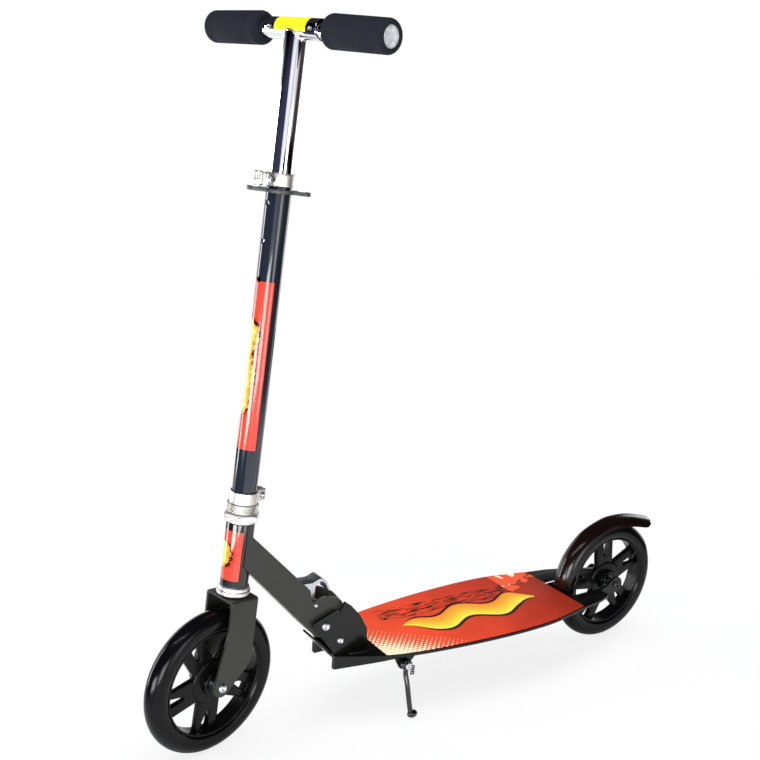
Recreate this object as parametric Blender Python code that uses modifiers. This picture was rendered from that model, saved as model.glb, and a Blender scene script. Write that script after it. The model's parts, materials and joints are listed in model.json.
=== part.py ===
"""A folding kick scooter with two large wheels, leaning on its left kickstand.

The scooter is modelled upright: +X forward, +Y to the rider's left, +Z up, with X = 0 and Z = 0
where the straight front wheel would touch the ground. The stance empty then tips it onto its stand.
Lengths are in metres.
"""

from math import asin, atan2, cos, degrees, dist, hypot, pi, radians, sin

import bmesh
import bpy
from mathutils import Vector

# Stance and steering geometry
LEAN = radians(7.0)
STEER_REST = radians(12.0)
RAKE = radians(4.5)
WHEEL_RADIUS = 0.100
TYRE_HALF_WIDTH = 0.015
WHEELBASE = 0.7165
AXLE_AHEAD = 0.0226
AXIS_X = -0.0225
AXIS_Z = 0.0982
GAP = 0.0003

# Fold, brake, latch and stand pivots, as (x, z) or (x, y, z)
FOLD_PIVOT = (-0.161, 0.150)
LATCH_PIVOT = (-0.1475, 0.1805)
STOP_BOLT = (-0.1855, 0.1237)
BRAKE_PIVOT = (-0.603, 0.0885)
STAND_PIVOT = (-0.2735, 0.0650, 0.0835)

# Deck heights and plan
DECK_TOP = 0.1023
DECK_SHEET = 0.002
DECK_SKIRT_LOW = 0.0820
GRIP_THICK = 0.0008
GRIP_FRONT = -0.2435
GRIP_REAR = -0.6075
DECK_HALF_PLAN = (
    (-0.1760, 0.0295), (-0.2460, 0.0610), (-0.2900, 0.0718), (-0.3400, 0.0788), (-0.3900, 0.0838),
    (-0.4400, 0.0868), (-0.4900, 0.0875), (-0.5400, 0.0840), (-0.6050, 0.0715), (-0.6450, 0.0650),
)
DECK_REAR = -0.6760
DECK_SLOT_FRONT = -0.6085
DECK_SLOT_HALF = 0.031
CHANNEL_HALF = 0.026
CHANNEL_LOW = 0.0815
CHANNEL_HIGH = DECK_TOP - DECK_SHEET - GAP

# Fold bracket
CHEEK_HALF = 0.020
PLATE_INNER = 0.0223
PLATE_THICK = 0.004
PLATE_FOOT = DECK_TOP + GAP

# Fender section radius, outside
FENDER_SECTION = 0.0180

# Heights up the steering axis, measured from the level of the front axle
CROWN_TOP = 0.117
HEAD_LOW = 0.1311
HEAD_HIGH = 0.2160
STEERER_TOP = 0.3000
COLUMN_LOW = 0.2443
COLUMN_TOP = 0.6528
CLIP_LOW = 0.6330
CLIP_TURN = radians(145.0)
SKEWER_X = 0.0222
SKEWER_Z = 0.6488
BAR_HEIGHT = 0.8235
STEM_LOW = 0.5660
HEIGHT_HOLES = (0.6205, 0.5740, 0.5275)

# Radii about the steering axis
STEERER_R = 0.0140
HEAD_R = 0.0184
COLUMN_R = 0.0159
COLUMN_BORE = 0.01435
STEM_R = 0.0140

# Fork
FORK_HALF = 0.0265
FORK_SHEET = 0.0035
CROWN_FRONT = 0.0210
CROWN_BACK = -0.0215

# Handlebar
CROSSBAR_R = 0.0127
CROSSBAR_BORE = 0.01145
CROSSBAR_HALF = 0.0440
GRIP_BAR_R = 0.0105
GRIP_BAR_BORE = 0.0089
GRIP_BAR_IN = 0.0030
GRIP_BAR_OUT = 0.1475
GRIP_DROOP = radians(1.2)
GRIP_SAG = 0.0003
GRIP_PIVOT = 0.0280
FOAM_R = 0.0202
FOAM_TIP_R = 0.0197
FOAM_IN = 0.0575
FOAM_OUT = 0.1545
GRIP_BUTTON_Y = 0.0350

# Wheels
TYRE_BORE = 0.0735
RIM_INNER = 0.0702
HUB_R = 0.0170
HUB_HALF = 0.0140
BEARING_R = 0.0110
BEARING_WIDTH = 0.0070
AXLE_R = 0.0040
SPOKE_PAIRS = 5
FRONT_SPOKES = radians(55.5)
REAR_SPOKES = radians(10.0)

AXIS_Y = (-pi / 2, 0.0, 0.0)
IN_XZ = (pi / 2, 0.0, 0.0)


def linear(hex_colour):
    """An sRGB hex colour as linear RGBA."""
    parts = [int(hex_colour[i:i + 2], 16) / 255 for i in (0, 2, 4)]
    return [p / 12.92 if p <= 0.04045 else ((p + 0.055) / 1.055) ** 2.4 for p in parts] + [1.0]


def finish(name, hex_colour, metallic, roughness):
    made = bpy.data.materials.new(name)
    made.use_nodes = True
    shader = made.node_tree.nodes["Principled BSDF"]
    shader.inputs["Base Color"].default_value = linear(hex_colour)
    shader.inputs["Metallic"].default_value = metallic
    shader.inputs["Roughness"].default_value = roughness
    made.diffuse_color = linear(hex_colour)
    return made


for old in list(bpy.data.objects):
    bpy.data.objects.remove(old, do_unlink=True)

PARTS = bpy.data.collections.new("kick_scooter")
CUTTERS = bpy.data.collections.new("cutters")
for group in (PARTS, CUTTERS):
    bpy.context.scene.collection.children.link(group)

BLACK_PAINT = finish("black_paint", "1E1F20", 0.0, 0.38)
CHROME = finish("chrome", "D8DADD", 1.0, 0.12)
ZINC = finish("zinc_plate", "B9BCC0", 1.0, 0.35)
BEARING_STEEL = finish("bearing_steel", "9EA2A6", 1.0, 0.25)
GRIP_PRINT = finish("grip_print", "E23B24", 0.0, 0.75)
BLACK_PU = finish("black_polyurethane", "141518", 0.0, 0.18)
BLACK_NYLON = finish("black_nylon", "202122", 0.0, 0.50)
FOAM = finish("foam_rubber", "16171A", 0.0, 0.90)
GREY_PLASTIC = finish("grey_plastic", "9A9DA0", 0.0, 0.40)


def empty(name, parent=None, location=(0, 0, 0), rotation=(0, 0, 0)):
    made = bpy.data.objects.new(name, None)
    PARTS.objects.link(made)
    made.parent = parent
    made.location = location
    made.rotation_euler = rotation
    return made


def place(name, mesh, parent, material, location=(0, 0, 0), rotation=(0, 0, 0)):
    """A named part from a mesh; with no material it is a cutter or a joining helper."""
    made = bpy.data.objects.new(name, mesh)
    (PARTS if material else CUTTERS).objects.link(made)
    made.parent = parent
    made.location = location
    made.rotation_euler = rotation
    if material:
        mesh.materials.clear()
        mesh.materials.append(material)
    else:
        made.hide_render = True
        made.display_type = "WIRE"
    return made


def boolean(target, other, operation="DIFFERENCE"):
    step = target.modifiers.new(other.name, "BOOLEAN")
    step.operation = operation
    step.object = other
    step.solver = "EXACT"


def join(target, *others):
    for other in others:
        boolean(target, other, "UNION")


def cut(target, *others):
    for other in others:
        boolean(target, other)


def box(name, low, high, parent, material=None):
    """A block between two corners."""
    shape = bmesh.new()
    bmesh.ops.create_cube(shape, size=1.0)
    low, high = Vector(low), Vector(high)
    for vertex in shape.verts:
        vertex.co = (low + high) / 2 + Vector(c * s for c, s in zip(vertex.co, high - low))
    mesh = bpy.data.meshes.new(name)
    shape.to_mesh(mesh)
    shape.free()
    return place(name, mesh, parent, material)


def rod(name, radius, low, high, parent, material=None, location=(0, 0, 0), rotation=(0, 0, 0), sides=16):
    """A plain cylinder along the local Z between two heights."""
    shape = bmesh.new()
    bmesh.ops.create_cone(
        shape, cap_ends=True, segments=sides, radius1=radius, radius2=radius, depth=high - low
    )
    bmesh.ops.translate(shape, verts=shape.verts, vec=(0, 0, (low + high) / 2))
    mesh = bpy.data.meshes.new(name)
    shape.to_mesh(mesh)
    shape.free()
    smooth(mesh)
    return place(name, mesh, parent, material, location, rotation)


def smooth(mesh):
    mesh.shade_smooth()
    mesh.set_sharp_from_angle(angle=radians(35))


def turned(name, profile, parent, material=None, location=(0, 0, 0), rotation=(0, 0, 0), steps=24):
    """A ring or solid of revolution: the profile's (radius, height) points run down its outer side."""
    mesh = bpy.data.meshes.new(name)
    closed = all(radius > 0 for radius, _ in profile)
    edges = [(i, i + 1) for i in range(len(profile) - 1)]
    if closed:
        edges.append((len(profile) - 1, 0))
    mesh.from_pydata([(radius, 0, height) for radius, height in profile], edges, [])
    made = place(name, mesh, parent, material, location, rotation)
    screw = made.modifiers.new("turned", "SCREW")
    screw.steps = screw.render_steps = steps
    screw.use_merge_vertices = True
    screw.merge_threshold = 1e-5
    screw.use_smooth_shade = True
    return made


def tube(name, outer, inner, low, high, parent, material=None,
         location=(0, 0, 0), rotation=(0, 0, 0), steps=24):
    profile = ((outer, high), (outer, low), (inner, low), (inner, high))
    return turned(name, profile, parent, material, location, rotation, steps)


def fillet(corners, steps=3):
    """A closed outline from (x, y) or (x, y, radius) corners, each rounded by its radius."""
    points = []
    for i, corner in enumerate(corners):
        here = Vector(corner[:2])
        if len(corner) == 2:
            points.append(tuple(here))
            continue
        before = Vector(corners[i - 1][:2]) - here
        after = Vector(corners[(i + 1) % len(corners)][:2]) - here
        half = before.angle(after) / 2
        reach = corner[2] * cos(half) / sin(half)
        start = here + before.normalized() * reach
        end = here + after.normalized() * reach
        for k in range(steps + 1):
            t = k / steps
            points.append(tuple(start * (1 - t) ** 2 + here * 2 * t * (1 - t) + end * t ** 2))
    return points


def arc(centre, radius, start, end, steps):
    """Points on an arc, with both angles in degrees."""
    turns = [radians(start + (end - start) * k / steps) for k in range(steps + 1)]
    return [(centre[0] + radius * cos(a), centre[1] + radius * sin(a)) for a in turns]


def baked(made, name):
    """The mesh of a curve object, with its caps welded; the curve object is removed."""
    bpy.context.view_layer.update()
    graph = bpy.context.evaluated_depsgraph_get()
    mesh = bpy.data.meshes.new_from_object(made.evaluated_get(graph))
    curve = made.data
    bpy.data.objects.remove(made, do_unlink=True)
    bpy.data.curves.remove(curve)
    shape = bmesh.new()
    shape.from_mesh(mesh)
    bmesh.ops.remove_doubles(shape, verts=shape.verts, dist=1e-6)
    bmesh.ops.recalc_face_normals(shape, faces=shape.faces)
    shape.to_mesh(mesh)
    shape.free()
    mesh.name = name
    smooth(mesh)
    return mesh


def plate(name, outline, low, high, parent, material=None, holes=(), rotation=(0, 0, 0), location=(0, 0, 0)):
    """A flat outline, with holes, thickened along its local Z between two heights."""
    curve = bpy.data.curves.new(name + "_outline", "CURVE")
    curve.dimensions = "2D"
    curve.fill_mode = "BOTH"
    curve.extrude = (high - low) / 2
    for loop in (outline, *holes):
        spline = curve.splines.new("POLY")
        spline.points.add(len(loop) - 1)
        for point, (x, y) in zip(spline.points, loop):
            point.co = (x, y, 0, 1)
        spline.use_cyclic_u = True
    made = bpy.data.objects.new(name + "_outline", curve)
    CUTTERS.objects.link(made)
    mesh = baked(made, name)
    for vertex in mesh.vertices:
        vertex.co.z += (low + high) / 2
    return place(name, mesh, parent, material, location, rotation)


def side_plate(name, outline, low_y, high_y, parent, material=None, holes=()):
    """A plate whose outline is in X and Z, between two values of Y."""
    return plate(name, outline, -high_y, -low_y, parent, material, holes, IN_XZ)


def wire(name, points, radius, parent, material=None, resolution=2, smooth_steps=0):
    """A round wire or bar along points; smooth_steps curves it through them."""
    if smooth_steps:
        points = through(points, smooth_steps)
    curve = bpy.data.curves.new(name + "_path", "CURVE")
    curve.dimensions = "3D"
    curve.bevel_depth = radius
    curve.bevel_resolution = resolution
    curve.use_fill_caps = True
    spline = curve.splines.new("POLY")
    spline.points.add(len(points) - 1)
    for point, place_at in zip(spline.points, points):
        point.co = (*place_at, 1)
    made = bpy.data.objects.new(name + "_path", curve)
    CUTTERS.objects.link(made)
    return place(name, baked(made, name), parent, material)


def through(points, steps):
    """A smooth path through the points."""
    points = [Vector(p) for p in points]
    padded = [2 * points[0] - points[1], *points, 2 * points[-1] - points[-2]]
    path = []
    for a, b, c, d in zip(padded, padded[1:], padded[2:], padded[3:]):
        for k in range(steps):
            t = k / steps
            path.append(
                0.5 * (2 * b + (c - a) * t + (2 * a - 5 * b + 4 * c - d) * t ** 2
                       + (3 * b - a - 3 * c + d) * t ** 3)
            )
    return path + [points[-1]]


def coil(name, centre, axis, radius, wire_radius, length, turns, parent):
    """A spring: one unbroken helix of round wire about the Y or the Z axis."""
    per_turn = 8
    count = turns * per_turn
    points = []
    for k in range(count + 1):
        angle = 2 * pi * k / per_turn
        along = length * (k / count - 0.5)
        a, b = radius * cos(angle), radius * sin(angle)
        offset = (a, along, b) if axis == "Y" else (a, b, along)
        points.append(tuple(c + o for c, o in zip(centre, offset)))
    far_apart = per_turn // 2
    nearest = min(dist(a, b) for i, a in enumerate(points) for b in points[i + far_apart:])
    print(f"{name}: least gap to itself {(nearest - 2 * wire_radius) * 1000:.2f} mm")
    return wire(name, points, wire_radius, parent, ZINC, resolution=1)


def bolt(name, x, z, half_length, shank, head, parent, material=ZINC):
    """A domed bolt along Y with its nut on the far side."""
    at = (x, 0, z)
    made = rod(name, shank, -half_length - 0.006, half_length + 0.001, parent, material, at, AXIS_Y, 16)
    top = half_length + GAP
    dome = [(0, top + 0.0036), (head * 0.55, top + 0.0032), (head * 0.9, top + 0.002)]
    cap = turned(name + "_head", dome + [(head, top), (0, top)], parent, None, at, AXIS_Y, 20)
    low, high = -half_length - 0.0053, -half_length - GAP
    nut = rod(name + "_nut", head * 1.1, low, high, parent, None, at, AXIS_Y, 6)
    join(made, cap, nut)
    return made


STANCE = empty("stance", rotation=(-LEAN, 0, 0))


def make_deck():
    """The pressed deck, its printed grip sheet and the channel that stiffens it."""
    half = list(DECK_HALF_PLAN)
    rear = [(DECK_REAR, 0.0560, 0.010), (DECK_REAR, DECK_SLOT_HALF, 0.004)]
    corners = half + rear + [(DECK_SLOT_FRONT, DECK_SLOT_HALF, 0.008)]
    corners += [(x, -y, *rest) for x, y, *rest in reversed(corners)]
    tray = plate("deck_tray", fillet(corners), DECK_SKIRT_LOW, DECK_TOP, STANCE, BLACK_PAINT)
    wall = 0.0022
    inner = [(half[0][0] + 0.01, CHANNEL_HALF + 0.0006)]
    inner += [(half[0][0] - 0.001, CHANNEL_HALF + 0.0006)]
    inner += [(x, y - wall) for x, y in half[1:]]
    inner += [(DECK_REAR + wall, 0.052), (DECK_REAR + wall, DECK_SLOT_HALF + wall)]
    inner += [(DECK_SLOT_FRONT + wall, DECK_SLOT_HALF + wall)]
    inner += [(x, -y) for x, y in reversed(inner)]
    pocket = plate("deck_pocket", inner, 0.05, DECK_TOP - DECK_SHEET, STANCE)
    skirt_ends = -0.262
    shallow = DECK_TOP - 0.0045
    below = [(-0.7, 0.06), (-0.15, 0.06), (-0.15, DECK_SKIRT_LOW - 0.0045), (skirt_ends, shallow)]
    below.append((-0.7, shallow))
    slant = side_plate("deck_skirt_slant", below, -0.12, 0.12, STANCE)
    cut(tray, pocket, slant)

    inset = 0.0016
    edge = [(GRIP_FRONT, 0.0592, 0.004)]
    edge += [(x, y - inset) for x, y in half if GRIP_REAR < x < GRIP_FRONT - 0.01]
    edge += [(GRIP_REAR, 0.0688, 0.003)]
    edge += [(x, -y, *rest) for x, y, *rest in reversed(edge)]
    sheet_low = DECK_TOP + GAP
    plate("grip_sheet", fillet(edge), sheet_low, sheet_low + GRIP_THICK, STANCE, GRIP_PRINT)

    channel_rear = -0.594
    low, high = (channel_rear, -CHANNEL_HALF, CHANNEL_LOW), (half[0][0], CHANNEL_HALF, CHANNEL_HIGH)
    channel = box("spine_channel", low, high, STANCE, BLACK_PAINT)
    inside = CHANNEL_HALF - 0.003
    hollow = box("channel_hollow", (-0.7, -inside, 0.05), (-0.1, inside, CHANNEL_HIGH - 0.0025), STANCE)
    cut(channel, hollow)


def make_fold_bracket():
    """Two side plates with turned-out feet, the front stop plate and the two through bolts."""
    profile = fillet([
        (-0.1760, PLATE_FOOT), (-0.1760, 0.1065, 0.002), (-0.1385, 0.1555, 0.006),
        (-0.1755, 0.1695, 0.004), (-0.1830, 0.1660, 0.0015), (-0.1905, 0.1795, 0.0015),
        (-0.2010, 0.1715, 0.003), (-0.2160, 0.1550, 0.008), (-0.2290, 0.1325, 0.010),
        (-0.2320, PLATE_FOOT),
    ])
    foot = [(-0.1960, 0.0235), (-0.1960, 0.0355, 0.004), (-0.2320, 0.0425, 0.003), (-0.2320, 0.0235)]
    for side, name in ((1, "left"), (-1, "right")):
        low, high = sorted((side * PLATE_INNER, side * (PLATE_INNER + PLATE_THICK)))
        made = side_plate("fold_plate_" + name, profile, low, high, STANCE, BLACK_PAINT)
        outline = fillet([(x, side * y, *rest) for x, y, *rest in foot])
        turned_out = plate("foot_" + name, outline, PLATE_FOOT, PLATE_FOOT + 0.003, STANCE)
        join(made, turned_out)
        for label, (x, z), radius in (("pivot", FOLD_PIVOT, 0.0053), ("stop", STOP_BOLT, 0.0043)):
            cut(made, rod(f"{label}_hole_{name}", radius, -0.04, 0.04, STANCE, None, (x, 0, z), AXIS_Y))
    stop_line = [
        (-0.1563, 0.1247), (-0.1542, 0.1228), (-0.1742, 0.1000), (-0.1785, 0.1000), (-0.1763, 0.1030),
    ]
    stop = side_plate("stop_plate", stop_line, GAP - PLATE_INNER, PLATE_INNER - GAP, STANCE, BLACK_PAINT)
    cut(stop, box("stop_foot_cut", (-0.2, -0.03, 0.09), (-0.12, 0.03, PLATE_FOOT), STANCE))
    outer = PLATE_INNER + PLATE_THICK
    bolt("pivot_bolt", *FOLD_PIVOT, outer, 0.0050, 0.0062, STANCE)
    bolt("stop_bolt", *STOP_BOLT, outer, 0.0040, 0.0050, STANCE)


def make_rear_fork():
    """The two dropout plates, the rear axle and its spacers."""
    axle = (-WHEELBASE, WHEEL_RADIUS)
    outline = [(-0.5600, 0.0835), (-0.5600, 0.0972), (-0.6850, 0.0972), (-0.6980, 0.1020)]
    outline += arc(axle, 0.0135, 75, 285, 10) + [(-0.6800, 0.0865), (-0.6600, 0.0835)]
    inner = CHANNEL_HALF + GAP
    outer = inner + 0.0035
    for side, name in ((1, "left"), (-1, "right")):
        low, high = sorted((side * inner, side * outer))
        made = side_plate("rear_fork_" + name, outline, low, high, STANCE, BLACK_PAINT)
        for label, (x, z), radius in (("axle", axle, 0.0043), ("brake", BRAKE_PIVOT, 0.0033)):
            cut(made, rod(f"{label}_hole_{name}", radius, -0.04, 0.04, STANCE, None, (x, 0, z), AXIS_Y))
        at = (-WHEELBASE, 0, WHEEL_RADIUS)
        spacer(f"rear_spacer_{name}", side, inner, STANCE, at, BLACK_PAINT)
    bolt("rear_axle_bolt", *axle, outer, AXLE_R, 0.0062, STANCE, BLACK_PAINT)
    x, z = BRAKE_PIVOT
    rod("brake_pin", 0.0030, -outer - 0.001, outer + 0.001, STANCE, BLACK_PAINT, (x, 0, z), AXIS_Y)


def spacer(name, side, reach, parent, location, material=ZINC):
    low, high = sorted((side * (HUB_HALF + GAP), side * (reach - GAP)))
    tube(name, 0.0070, 0.0043, low, high, parent, material, location, AXIS_Y, 16)


def make_brake():
    """The sprung fender that is pressed on the rear tyre, a domed strip that flares at its tip."""
    joint = empty("rear_brake", STANCE, (BRAKE_PIVOT[0], 0, BRAKE_PIVOT[1]))
    frame = empty("rear_brake_frame", joint, (-BRAKE_PIVOT[0], 0, -BRAKE_PIVOT[1]))
    axle = Vector((-WHEELBASE, 0, WHEEL_RADIUS))
    polar = (
        (16, 0.1034), (34, 0.1040), (58, 0.1046), (82, 0.1062), (97, 0.1090), (111, 0.1132), (124, 0.1186),
        (133, 0.1226),
    )
    route = [Vector((-0.6085, 0, 0.0900)), Vector((-0.6128, 0, 0.0955)), Vector((-0.6134, 0, 0.1060))]
    route += [axle + r * Vector((cos(radians(a)), 0, sin(radians(a)))) for a, r in polar]
    path = through(route, 2)
    across = 6
    shape = bmesh.new()
    bmesh.ops.create_grid(shape, x_segments=len(path) - 1, y_segments=across, size=0.5)
    for vertex in shape.verts:
        k = round((vertex.co.x + 0.5) * (len(path) - 1))
        v = 2 * vertex.co.y
        t = k / (len(path) - 1)
        ahead, behind = path[min(k + 1, len(path) - 1)], path[max(k - 1, 0)]
        along = (ahead - behind).normalized()
        out = Vector((along.z, 0, -along.x))
        flap = max(0.0, (t - 0.62) / 0.38)
        root = max(0.0, 1 - t / 0.22)
        section = FENDER_SECTION * (1 + 1.1 * flap)
        half_angle = radians(80 - 46 * flap - 42 * root) * (1 - 0.30 * flap ** 6)
        turn = v * half_angle
        vertex.co = path[k] - out * section * (1 - cos(turn)) + Vector((0, section * sin(turn), 0))
        vertex.co -= along * 0.010 * flap ** 4 * v * v
    mesh = bpy.data.meshes.new("brake_fender")
    shape.to_mesh(mesh)
    shape.free()
    smooth(mesh)
    fender = place("brake_fender", mesh, frame, BLACK_NYLON)
    wall = fender.modifiers.new("wall", "SOLIDIFY")
    wall.thickness = 0.0018
    wall.offset = -1
    barrel = rod(
        "fender_barrel", 0.0055, -0.0155, 0.0155, frame, None, (BRAKE_PIVOT[0], 0, BRAKE_PIVOT[1]), AXIS_Y
    )
    bore = rod(
        "fender_bore", 0.0034, -0.03, 0.03, frame, None, (BRAKE_PIVOT[0], 0, BRAKE_PIVOT[1]), AXIS_Y
    )
    join(fender, barrel)
    cut(fender, bore)
    coil("brake_spring", (BRAKE_PIVOT[0], 0.0208, BRAKE_PIVOT[1]), "Y", 0.0046, 0.0006, 0.0078, 4, frame)


def make_kickstand():
    """The bracket under the deck's left edge, and the leg that swings back on its pin."""
    x, y, z = STAND_PIVOT
    inner, outer = 0.0560, 0.0600
    top = DECK_TOP - DECK_SHEET - GAP
    profile = fillet([
        (-0.2570, top - 0.001), (-0.2570, 0.0945, 0.003), *arc((x, z), 0.0095, -15, -170, 8),
        (-0.2930, 0.0920, 0.003), (-0.2940, top - 0.001),
    ])
    bracket = side_plate("stand_bracket", profile, inner, outer, STANCE, BLACK_PAINT)
    join(bracket, box("stand_flange", (-0.2950, 0.0380, top - 0.003), (-0.2560, inner + 0.001, top), STANCE))
    cut(bracket, rod("stand_bracket_hole", 0.0033, 0.05, 0.07, STANCE, None, (x, 0, z), AXIS_Y))
    pin = rod("stand_pin", 0.0030, 0.0545, 0.0715, STANCE, ZINC, (x, 0, z), AXIS_Y, 16)
    join(pin, rod("stand_pin_head", 0.0050, 0.0695, 0.0718, STANCE, None, (x, 0, z), AXIS_Y, 16))

    joint = empty("kickstand", STANCE, STAND_PIVOT)
    frame = empty("kickstand_frame", joint, (-x, -y, -z))
    foot_y, foot_r = 0.0830, 0.0055
    ground = foot_y * sin(LEAN) - TYRE_HALF_WIDTH * (1 - cos(LEAN))
    foot = (-0.2742, foot_y, (foot_r + ground) / cos(LEAN))
    route = [(x, y, z), (x, 0.0652, 0.0690), (-0.2737, 0.0707, 0.0550), (-0.2739, 0.0772, 0.0335), foot]
    leg = wire("stand_leg", route, 0.0041, frame, BLACK_PAINT, 2, 3)
    eye = rod("stand_eye", 0.0080, outer + GAP, 0.0690, frame, None, (x, 0, z), AXIS_Y)
    shape = bmesh.new()
    bmesh.ops.create_uvsphere(shape, u_segments=12, v_segments=8, radius=foot_r)
    mesh = bpy.data.meshes.new("stand_toe")
    shape.to_mesh(mesh)
    shape.free()
    join(leg, eye, place("stand_toe", mesh, frame, None, foot))
    cut(leg, rod("stand_eye_hole", 0.0033, 0.05, 0.08, frame, None, (x, 0, z), AXIS_Y))
    coil("stand_spring", (-0.2850, 0.0652, 0.0725), "Z", 0.0025, 0.0006, 0.0150, 5, frame)


def make_neck():
    """The neck beam with its cheeks about the fold pivot, and the latch lever between them."""
    px, pz = FOLD_PIVOT
    joint = empty("stem_fold", STANCE, (px, 0, pz))
    frame = empty("stem_frame", joint, (-px, 0, -pz))
    lower = atan2(0.2569 - 0.1369, 0.1108)
    turn = degrees(lower) - 90
    heel = arc((px, pz), 0.0195, turn, turn - 154, 7)
    profile = [(-0.0360, 0.2569)] + heel + arc((px, pz), 0.0400, 131, 62, 8)
    profile += [(-0.1373, 0.2048), (-0.0400, 0.3042)]
    beam = side_plate("neck_beam", profile, -CHEEK_HALF, CHEEK_HALF, frame, BLACK_PAINT)
    inside = [
        (-0.0700, 0.2245), (-0.1440, 0.1445), (px, 0.1340), (-0.2300, 0.1340), (-0.2300, 0.2300),
        (-0.1180, 0.2300), (-0.1180, 0.2190), (-0.0700, 0.2680),
    ]
    hollow = side_plate("neck_hollow", inside, -CHEEK_HALF + 0.0035, CHEEK_HALF - 0.0035, frame)
    head = empty("head", frame, (AXIS_X, 0, AXIS_Z), (0, -RAKE, 0))
    saddle = rod("neck_saddle", HEAD_R + GAP, 0.10, 0.26, head, None, sides=24)
    pivot_hole = rod("neck_pivot_hole", 0.0053, -0.03, 0.03, frame, None, (px, 0, pz), AXIS_Y)
    x, z = LATCH_PIVOT
    latch_hole = rod("neck_latch_hole", 0.0028, -0.03, 0.03, frame, None, (x, 0, z), AXIS_Y)
    cut(beam, hollow, saddle, pivot_hole, latch_hole)
    rod("latch_pin", 0.0025, -0.0210, 0.0210, frame, ZINC, (x, 0, z), AXIS_Y, 16)

    latch = empty("fold_latch", frame, (x, 0, z))
    latch_frame = empty("fold_latch_frame", latch, (-x, 0, -z))
    shape = fillet([
        (-0.1425, 0.1752, 0.004), (-0.1440, 0.1960, 0.010), (-0.1318, 0.2075, 0.001),
        (-0.1330, 0.2118, 0.002), (-0.1462, 0.2105, 0.010), (-0.1590, 0.2155, 0.006),
        (-0.1690, 0.2075, 0.006), (-0.1745, 0.1930, 0.0014), (-0.1700, 0.1922, 0.0014),
        (-0.1625, 0.2055, 0.006), (-0.1530, 0.2055, 0.006), (-0.1512, 0.1860, 0.004),
        (-0.1590, 0.1790, 0.001), (-0.1560, 0.1752, 0.001),
    ], 3)
    lever = side_plate("latch_lever", shape, -0.0115, 0.0115, latch_frame, ZINC)
    cut(lever, rod("latch_bore", 0.0028, -0.03, 0.03, latch_frame, None, (x, 0, z), AXIS_Y))
    coil("latch_spring", (x, 0.0141, z), "Y", 0.0038, 0.0005, 0.0036, 2, latch_frame)
    return head


def make_headset(head):
    """The head tube with its cups and ball rings."""
    tube("head_tube", HEAD_R, HEAD_R - 0.0020, HEAD_LOW, HEAD_HIGH, head, BLACK_PAINT)
    lower = [
        (HEAD_R, HEAD_LOW - GAP), (0.0220, 0.1275), (0.0220, 0.1192), (0.0204, 0.1192), (0.0204, 0.1268),
        (0.0160, 0.1268), (0.0160, HEAD_LOW - GAP),
    ]
    turned("lower_cup", lower, head, CHROME, steps=20)
    tube("lower_bearing", 0.0200, 0.0144, 0.1198, 0.1265, head, BEARING_STEEL, steps=20)
    upper = [
        (0.0205, 0.2205), (0.0205, 0.2175), (HEAD_R, HEAD_HIGH + GAP), (0.0160, HEAD_HIGH + GAP),
        (0.0160, 0.2178), (0.0190, 0.2178), (0.0190, 0.2205),
    ]
    turned("upper_cup", upper, head, CHROME, steps=20)
    tube("upper_bearing", 0.0187, 0.0144, 0.2181, 0.2204, head, BEARING_STEEL, steps=20)


def make_fork(steer):
    """The folded-sheet fork with its threaded steerer, the axle and its spacers."""
    half = FORK_HALF
    inner = half - FORK_SHEET
    underside = CROWN_TOP - FORK_SHEET
    section = fillet([
        (-half, -0.02), (-half, CROWN_TOP, 0.004), (half, CROWN_TOP, 0.004), (half, -0.02), (inner, -0.02),
        (inner, underside, 0.002), (-inner, underside, 0.002), (-inner, -0.02),
    ], 3)
    fork = plate("fork", section, -0.03, 0.05, steer, BLACK_PAINT, rotation=(pi / 2, 0, pi / 2))
    leg = fillet([
        (CROWN_BACK, 0.125), (CROWN_BACK, 0.0270, 0.014), *arc((AXLE_AHEAD, 0), 0.0130, 230, 372, 9),
        (0.0250, 0.0540, 0.02), (CROWN_FRONT, 0.0800, 0.02), (CROWN_FRONT, 0.125),
    ])
    boolean(fork, side_plate("fork_outline", leg, -0.04, 0.04, steer), "INTERSECT")
    race = turned("crown_race", [(0, 0.1185), (0.0172, 0.1185), (0.0172, 0.1160), (0, 0.1160)], steer)
    steerer = rod("steerer", STEERER_R, 0.1150, STEERER_TOP, steer, sides=24)
    steerer_bore = rod("steerer_bore", STEERER_R - 0.0020, 0.0900, STEERER_TOP + 0.01, steer, sides=24)
    join(fork, race, steerer)
    hole = rod("fork_axle_hole", 0.0043, -0.04, 0.04, steer, None, (AXLE_AHEAD, 0, 0), AXIS_Y)
    cut(fork, steerer_bore, hole)
    bolt("front_axle_bolt", AXLE_AHEAD, 0, half, AXLE_R, 0.0062, steer)
    for side, name in ((1, "left"), (-1, "right")):
        spacer(f"front_spacer_{name}", side, inner, steer, (AXLE_AHEAD, 0, 0))


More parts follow.
